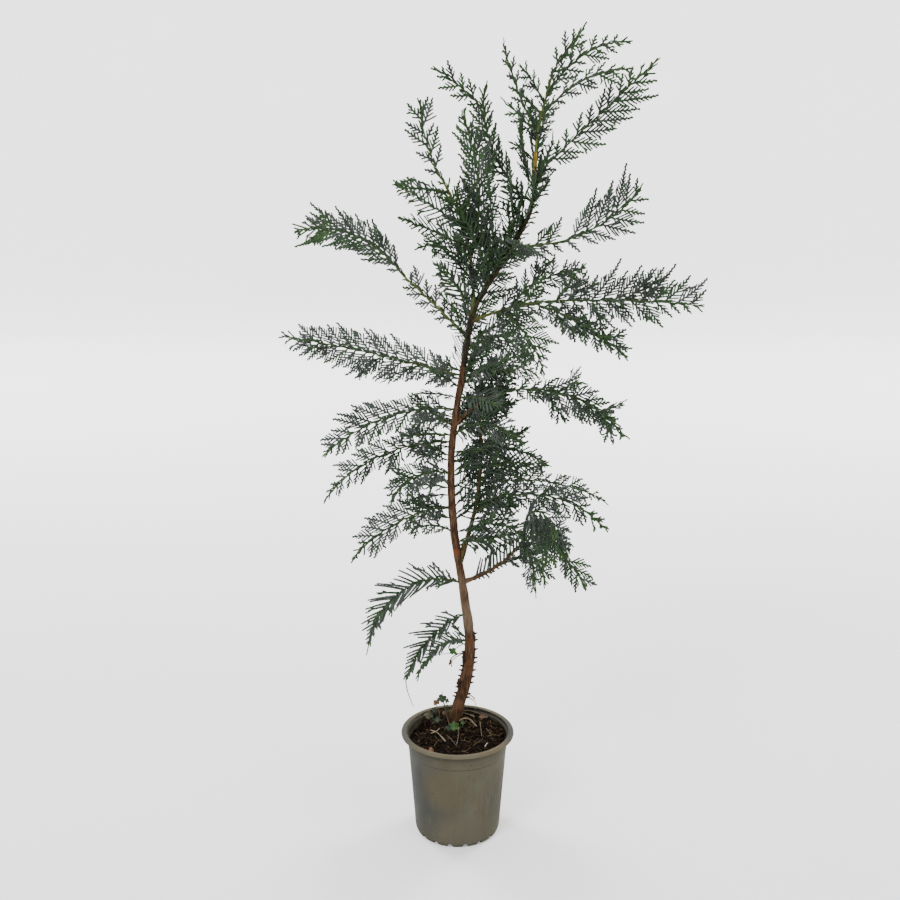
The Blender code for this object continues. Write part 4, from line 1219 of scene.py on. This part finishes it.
def make_foliage(routes, stem_material):
    """Stems and twigs, a piece for each region and for each leaf colour in it."""
    materials = {name: leaf_material("leaf_" + name, *pair) for name, pair in LEAF_COLOURS.items()}
    twigs, stems = grow_foliage(routes)
    hang_threads(stems["left"], routes)
    for region, solids in stems.items():
        nodes = [row.name for row in FRONDS if REGIONS[group_of(row)] == region]
        place(solids.mesh(region + "_frond_stems"), stem_material, "young_bark", nodes)
    for (region, colour), rows in twigs.items():
        solids = Solids()
        add_twigs(solids, rows)
        place(solids.mesh(f"{region}_sprays_{colour}"), materials[colour], "foliage")


# Trunk and limbs


def make_barks(path):
    """Every kind of bark by name. path is the trunk's."""
    bough = next(row for row in LIMBS if row.name == "bough_high_right")
    brown_foot = (tuple(path.at(bough.at)[0]), *BROWN_FOOT)
    patches = {"bark": (BARK_PATCHES, PALE_BARK), "young_bark": ([brown_foot],)}
    return {name: bark_material(name, *patches.get(name, ())) for name in BARKS}


def bark_relief(index, turn, seed, coarse, along):
    """Ridges round a stem from two layers of noise: how coarse they are, and how fast they change."""
    across, up = math.cos(turn) * coarse, math.sin(turn) * coarse
    spot = Vector((across, up, index * along + seed))
    fine = Vector((across * FINENESS, up * FINENESS, index * along * 2 - seed))
    return noise.noise(spot) + FINE_SHARE * noise.noise(fine)


def make_trunk(path, barks):
    """The main stem in stretches of different bark."""
    feet = [part[2] for part in TRUNK_PARTS.values()]
    for (name, (bark, slot, low, sides, relief)), high in zip(TRUNK_PARTS.items(), feet[1:] + [math.inf]):
        spots = [i for i, p in enumerate(path.points) if low - BARK_STEP <= p.z < high + BARK_STEP]

        def radius_at(index, turn):
            spot = spots[index]
            ridges = bark_relief(spot, turn, TRUNK_SEED, *TRUNK_RIDGES)
            return path.radii[spot] * (BARK_GIRTH + relief * ridges)

        solids = Solids()
        add_tube(solids, [path.points[i] for i in spots], radius_at, sides)
        place(solids.mesh(name), barks[bark], slot, ["trunk"] if name == "trunk_bark" else ())


def near_height(path, height):
    """Index of the path's point nearest to a height."""
    return min(range(len(path.points)), key=lambda i: abs(path.points[i].z - height))


def make_lumps(path, material):
    """Old leaf bases that point out and a little forward, and the dark lumps of bark among them."""
    rows = []
    for side, heights in SPINES.items():
        for height in heights:
            index = near_height(path, height)
            way = Vector((side, -0.3, 0.15)).normalized()
            foot = path.points[index] + way * path.radii[index] * SUNK
            end_way = Vector((side, -0.2, 0.5))
            rows.append(twig_row(foot, way, end_way, (0, 1, 0), SPINE_LENGTH, *SPINE_HALF_WIDTHS))
    solids = Solids()
    add_twigs(solids, rows, scaly=False)
    for height, side, length, bulge in LUMPS:
        spots = range(near_height(path, height - length / 2), near_height(path, height + length / 2) + 1)
        points = [path.points[i] + Vector((side, -0.25, 0.0)) * path.radii[i] * SUNK for i in spots]
        middle = (len(points) - 1) / 2

        def radius_at(index, turn):
            # An ellipse along the trunk, a little blunt at its ends
            share = 1.06 - ((index - middle) / middle) ** 2
            ridges = bark_relief(index, turn, height * 70, *LUMP_RIDGES)
            return bulge * share**0.5 * (1.0 + LUMP_RELIEF * ridges)

        add_tube(solids, points, radius_at, 12)
    place(solids.mesh("trunk_lumps"), material, "bark")


def make_limbs(routes, barks):
    """Second stem, leader and boughs, each with a thicker collar at its foot."""
    for row in LIMBS:
        whole = rooted(routes[row.name], routes[row.carrier].at(row.at)[0])
        seed = sum(map(ord, row.name)) * 0.13

        def radius_at(index, turn):
            collar = 1.0 + COLLAR * math.exp(-index / COLLAR_STEPS)
            ridges = bark_relief(index, turn, seed, *LIMB_RIDGES)
            return whole.radii[index] * collar * (1.0 + LIMB_RELIEF * ridges)

        solids = Solids()
        add_tube(solids, whole.points, radius_at, LIMB_SIDES)
        slot = "young_bark" if row.bark == "young_bark" else "bark"
        place(solids.mesh(row.name + "_bark"), barks[row.bark], slot, [row.name])


# Pot and compost


def quadratic(start, corner, end, count):
    """Points along a curve from start to end that bends towards the corner."""
    points = []
    for step in range(count + 1):
        t = step / count
        points.append(tuple(
            a * (1 - t) ** 2 + 2 * b * t * (1 - t) + c * t * t for a, b, c in zip(start, corner, end)
        ))
    return points


def line(start, end, count):
    """Points along a straight line."""
    return [tuple(a + (b - a) * s / count for a, b in zip(start, end)) for s in range(count + 1)]


def pot_profile():
    """Radii and heights from the underside up the outside, over the lip and down to the floor inside."""
    lip_under = POT_HEIGHT - LIP_DEPTH
    shoulder = lip_under - SHOULDER_DROP
    step_height = lip_under - BAND_HEIGHT
    step_radius = NECK_RADIUS - BAND_TAPER
    lip_inner = RIM_RADIUS - LIP_WIDTH
    # The foot and its rounded heel
    points = [(NOTCH_REACH * 0.5, 0.0), (NOTCH_REACH - BEVEL, 0.0), (NOTCH_REACH, 0.0)]
    points += quadratic((BASE_RADIUS, 0.0), (HEEL_RADIUS - 0.0004, 0.002), (HEEL_RADIUS, HEEL_HEIGHT), 8)
    # The wall up to the moulded step, and the plain band
    points += line((HEEL_RADIUS, HEEL_HEIGHT), (step_radius - BAND_STEP, step_height - 0.0008), 6)[1:]
    points += line((step_radius, step_height), (NECK_RADIUS, shoulder - WALL), 3)
    points += quadratic((NECK_RADIUS, shoulder - WALL), (NECK_RADIUS + 0.0005, lip_under),
                        (lip_inner + 1.1 * WALL, lip_under), 5)[1:]
    # The rolled lip
    points += [(RIM_RADIUS - BEVEL, lip_under), (RIM_RADIUS, lip_under + BEVEL)]
    points += quadratic((RIM_RADIUS, lip_under + 0.0014), (RIM_RADIUS - 0.0003, POT_HEIGHT - 0.0007),
                        (RIM_RADIUS - 0.0032, POT_HEIGHT - 0.0002), 6)
    points += quadratic((RIM_RADIUS - 0.0048, POT_HEIGHT), (lip_inner + 0.0008, POT_HEIGHT),
                        (lip_inner, POT_HEIGHT - 0.0010), 5)
    # The ledge inside it, and the wall down to the floor
    points += [(lip_inner - 0.0003, POT_HEIGHT - 0.0026), (lip_inner - BEVEL, LEDGE_AT + BEVEL)]
    points += [(lip_inner - 0.0022, LEDGE_AT), (NECK_RADIUS - WALL + 0.0002, LEDGE_AT - 0.0010)]
    points += line((NECK_RADIUS - WALL, shoulder), (FLOOR_RADIUS, FLOOR), 4)[1:]
    return points


def notch_lift(turn):
    """Height of the pot's foot above the ground at an angle: nothing, or an arch at a notch."""
    pitch = math.tau / FOOT_NOTCHES
    offset = (turn / pitch - NOTCH_TURN + 0.5) % 1.0 - 0.5
    width = abs(offset) * pitch * BASE_RADIUS / (NOTCH_WIDTH / 2)
    return NOTCH_HEIGHT * max(0.0, 1.0 - width**4) ** 0.5 if width < 1 else 0.0


def wall_middle(height):
    """Radius halfway through the pot's wall or lip at a height."""
    lip_under = POT_HEIGHT - LIP_DEPTH
    if height > lip_under:
        return RIM_RADIUS - LIP_WIDTH / 2
    return HEEL_RADIUS + (NECK_RADIUS - HEEL_RADIUS) * height / lip_under - WALL


def make_pot():
    """The turned shell with its notched heel, stained and darkened with painted shade inside."""
    profile = pot_profile()
    steps = FOOT_NOTCHES * STEPS_PER_NOTCH
    verts = [(0.0, 0.0, 0.0)]
    for radius, height in profile:
        notched = radius >= NOTCH_REACH and height < NOTCH_HEIGHT
        for turn, x, y in round_points(radius, steps):
            verts.append((x, y, max(height, notch_lift(turn)) if notched else height))
    verts.append((0.0, 0.0, FLOOR))
    solids = Solids()
    solids.add(verts, *ring_faces(len(profile), steps))
    mesh = solids.mesh("pot_shell")
    mesh.set_sharp_from_angle(angle=math.radians(SHARP_EDGE))
    place(mesh, pot_material(), "pot_plastic", ["pot"])
    mesh.materials.append(stained_and_shaded_material())
    for face in mesh.polygons:
        x, y, z = face.center
        is_inside = z > FLOOR / 2 and math.hypot(x, y) < wall_middle(z)
        face.material_index = int(is_inside and z < POT_HEIGHT - LIP_TOP)


def mound(x, y, middle, height, spread):
    """A soft rise round a spot."""
    return height * math.exp(-((x - middle[0]) ** 2 + (y - middle[1]) ** 2) / spread**2)


def compost_height(x, y):
    """Height of the surface: lumpy, lower at the left front, higher at the trunk, sunk at the left back."""
    lumps = 0.0
    for scale, relief, seed in COMPOST_LUMPS:
        lumps += noise.noise(Vector((x * scale, y * scale, seed))) * relief
    dip = COMPOST_DIP * smoothstep(*DIP_RADII, math.hypot(x, y)) * smoothstep(*DIP_SIDES, y + 0.6 * x)
    bank = mound(x, y, STEM_BENDS[0], *BANK)
    return COMPOST_LEVEL + lumps - dip + bank - mound(x, y, BARE_WALL_AT, *HOLLOW)


def compost_edge():
    """Radius of the pot's inside wall at the compost's edge."""
    shoulder = POT_HEIGHT - LIP_DEPTH - SHOULDER_DROP
    share = (COMPOST_LEVEL - COMPOST_DIP - FLOOR) / (shoulder - FLOOR)
    return FLOOR_RADIUS + (NECK_RADIUS - WALL - FLOOR_RADIUS) * share - GAP


def make_compost():
    """The compost's surface, on a shallow body."""
    edge = compost_edge()
    verts = [(0.0, 0.0, compost_height(0.0, 0.0))]
    for ring in range(1, COMPOST_RINGS + 1):
        points = round_points(edge * ring / COMPOST_RINGS, COMPOST_STEPS)
        verts += [(x, y, compost_height(x, y)) for _, x, y in points]
    bottom = COMPOST_LEVEL - COMPOST_DEPTH
    verts += [(x, y, bottom) for _, x, y in round_points(edge - COMPOST_TAPER, COMPOST_STEPS)]
    verts.append((0.0, 0.0, bottom))
    quads, tris = ring_faces(COMPOST_RINGS + 1, COMPOST_STEPS)
    solids = Solids()
    solids.add(verts, quads[:, ::-1], tris[:, ::-1])
    material = crumb_material("compost", *COMPOST_COLOURS)
    place(solids.mesh("compost_surface"), material, "compost", ["compost"])


def strewn(reach, dice):
    """A random spot within reach of the pot's axis."""
    radius, turn = reach * math.sqrt(dice.random()), dice.uniform(0, math.tau)
    return radius * math.cos(turn), radius * math.sin(turn)


def make_chips():
    """Bark chips and crumbs strewn over the compost, each a chipped little block."""
    reach = compost_edge() - 0.004
    corners = np.array([[x, y, z] for z in (-1, 1) for y in (-1, 1) for x in (-1, 1)], float)
    block = np.array([(0, 2, 3, 1), (4, 5, 7, 6), (0, 1, 5, 4), (2, 6, 7, 3), (0, 4, 6, 2), (1, 3, 7, 5)])
    for kind, (count, size, dark, light) in CHIP_KINDS.items():
        dice = random.Random("chips " + kind)
        solids = Solids()
        for _ in range(count):
            x, y = strewn(reach, dice)
            scale = [s * dice.uniform(*CHIP_SPREAD) / 2 for s in size]
            knocks = np.array([[dice.uniform(*CHIP_KNOCKS) for _ in range(3)] for _ in corners])
            yaw = Quaternion((0, 0, 1), dice.uniform(0, math.tau))
            tilt = Quaternion((1, 0, 0), dice.gauss(0, 0.4)) @ Quaternion((0, 1, 0), dice.gauss(0, 0.35))
            centre = Vector((x, y, compost_height(x, y) + scale[2] * 0.6))
            chipped = corners * (1 + knocks) * scale
            solids.add([tuple(centre + yaw @ tilt @ Vector(corner)) for corner in chipped], block)
        material = crumb_material("chips_" + kind, dark, light, 420.0)
        place(solids.mesh("compost_chips_" + kind, smooth=False), material, "compost")


def make_straws():
    """Dry stalks and root threads that lie bent over the compost."""
    reach = compost_edge() - 0.006
    for kind, (count, shortest, longest, radius, dark, light) in STRAW_KINDS.items():
        dice = random.Random("straws " + kind)
        solids = Solids()
        for _ in range(count):
            centre = Vector((*strewn(reach, dice), 0.0))
            way = heading(dice.uniform(0, 360), 0)
            half = dice.uniform(shortest, longest) / 2
            bow = way.cross(Vector((0, 0, 1))) * dice.uniform(-STRAW_BOW, STRAW_BOW)
            points = []
            for share in (-1.0, 0.0, 1.0):
                spot = centre + (way * share + bow * share**2) * half
                spot *= min(1.0, reach / max(spot.length, 0.001))
                spot.z = compost_height(spot.x, spot.y) + dice.uniform(*STRAW_LIFT)
                points.append(spot)
            route = smooth_route(points, half / 3)
            add_tube(solids, route, lambda i, turn: radius * (1.0 + STRAW_KNOTS * math.sin(i * 1.7)), 5)
        material = crumb_material("straws_" + kind, dark, light, 700.0)
        place(solids.mesh("compost_straws_" + kind), material, "compost")


# Weeds


def lobed_leaf(solids, leaf):
    """A thin cupped leaf with a scalloped edge, turned to the front and the light."""
    tilt = Quaternion((1, 0, 0), math.radians(-LEAF_TILT)) @ Quaternion((0, 1, 0), math.radians(leaf.roll))
    across, up, face = (tilt @ Vector(v) for v in ((1, 0, 0), (0, 0, 1), (0, -1, 0)))
    centre = Vector(leaf.centre)
    sides = 6 * leaf.lobes
    rim = []
    for step in range(sides):
        turn = math.tau * step / sides
        reach = LOBE_ROOT + LOBE_DEPTH * abs(math.cos(leaf.lobes * turn / 2)) ** 0.7
        spot = across * (math.cos(turn) * leaf.width / 2) + up * (math.sin(turn) * leaf.height / 2)
        rim.append(centre + spot * reach - face * (LEAF_CUP * leaf.width * math.cos(2 * turn)))
    half = face * LEAF_HALF_THICKNESS
    solids.add([tuple(v) for v in (centre + half, *rim, centre - half)], *ring_faces(1, sides))
    base = centre - up * (0.3 * leaf.height)
    foot = Vector((0.85 * base.x, base.y - 0.003, compost_height(0.85 * base.x, base.y) - 0.001))
    if leaf.root:
        base, foot = centre, Vector(leaf.root)
    if base.z > foot.z or leaf.root:
        knee = base.lerp(foot, 0.5) + across * (0.1 * (base.z - foot.z))
        stem = smooth_route((foot, knee, base), WEED_SEGMENT)
        add_tube(solids, stem, lambda i, turn: WEED_STEM_RADIUS, 6)


def make_weeds():
    """Seedlings, dead leaves and grass that stand in the compost or lie on it."""
    for kind, (dark, light) in WEED_COLOURS.items():
        solids = Solids()
        for leaf in WEED_LEAVES:
            if leaf.kind == kind:
                lobed_leaf(solids, leaf)
        for stalk_kind, radius, points in STALKS:
            if stalk_kind == kind:
                add_tube(solids, smooth_route(points, WEED_SEGMENT), lambda i, turn: radius, 6)
        mesh = solids.mesh("weeds_" + kind)
        mesh.set_sharp_from_angle(angle=math.radians(SHARP_EDGE))
        place(mesh, leaf_material("weed_" + kind, dark, light), "foliage")


# Studio


def make_stage():
    """A wide pale floor that curves up all round, so that no horizon shows."""
    profile = [(radius, 0.0) for radius in FLOOR_RINGS] + quadratic(*FLOOR_CURVE, FLOOR_CURVE_STEPS)
    verts = [(0.0, 0.0, 0.0)]
    for radius, height in profile:
        verts += [(x, y, height) for _, x, y in round_points(radius, FLOOR_STEPS)]
    quads, tris = ring_faces(len(profile), FLOOR_STEPS)
    solids = Solids()
    solids.add(verts, quads[:, ::-1], tris[:FLOOR_STEPS, ::-1])
    mesh = solids.mesh("studio_floor")
    mesh.materials.append(floor_material())
    floor = put_in_scene("studio_floor", mesh)


def make_lights():
    """An even white sky and the lamps."""
    world = bpy.data.worlds.new("studio")
    bpy.context.scene.world = world
    world.use_nodes = True
    sky = world.node_tree.nodes["Background"]
    sky.inputs["Color"].default_value = (1.0, 1.0, 1.0, 1.0)
    sky.inputs["Strength"].default_value = SKY_STRENGTH
    for name, spot, aim, size, power in LAMPS:
        data = bpy.data.lights.new(name, "AREA")
        data.shape = "DISK"
        data.size = size
        data.energy = power
        lamp = put_in_scene(name, data)
        lamp.location = spot
        lamp.rotation_euler = (Vector(aim) - Vector(spot)).to_track_quat("-Z", "Y").to_euler()


def make_camera():
    """The photograph's camera, as its pot's rim and foot give it."""
    data = bpy.data.cameras.new("camera")
    data.sensor_width = SENSOR
    data.lens = SENSOR * CAMERA_FOCUS
    camera = put_in_scene("camera", data)
    camera.location = CAMERA_PLACE
    camera.rotation_euler = (math.radians(90 - CAMERA_TILT), 0.0, 0.0)
    bpy.context.scene.camera = camera


make_camera()
make_stage()
make_lights()
routes = make_routes()
trunk = trunk_path(BARK_STEP)
barks = make_barks(trunk)
make_trunk(trunk, barks)
make_lumps(trunk, barks["lump_bark"])
make_limbs(routes, barks)
make_foliage(routes, barks["frond_stem"])
make_pot()
make_compost()
make_chips()
make_straws()
make_weeds()
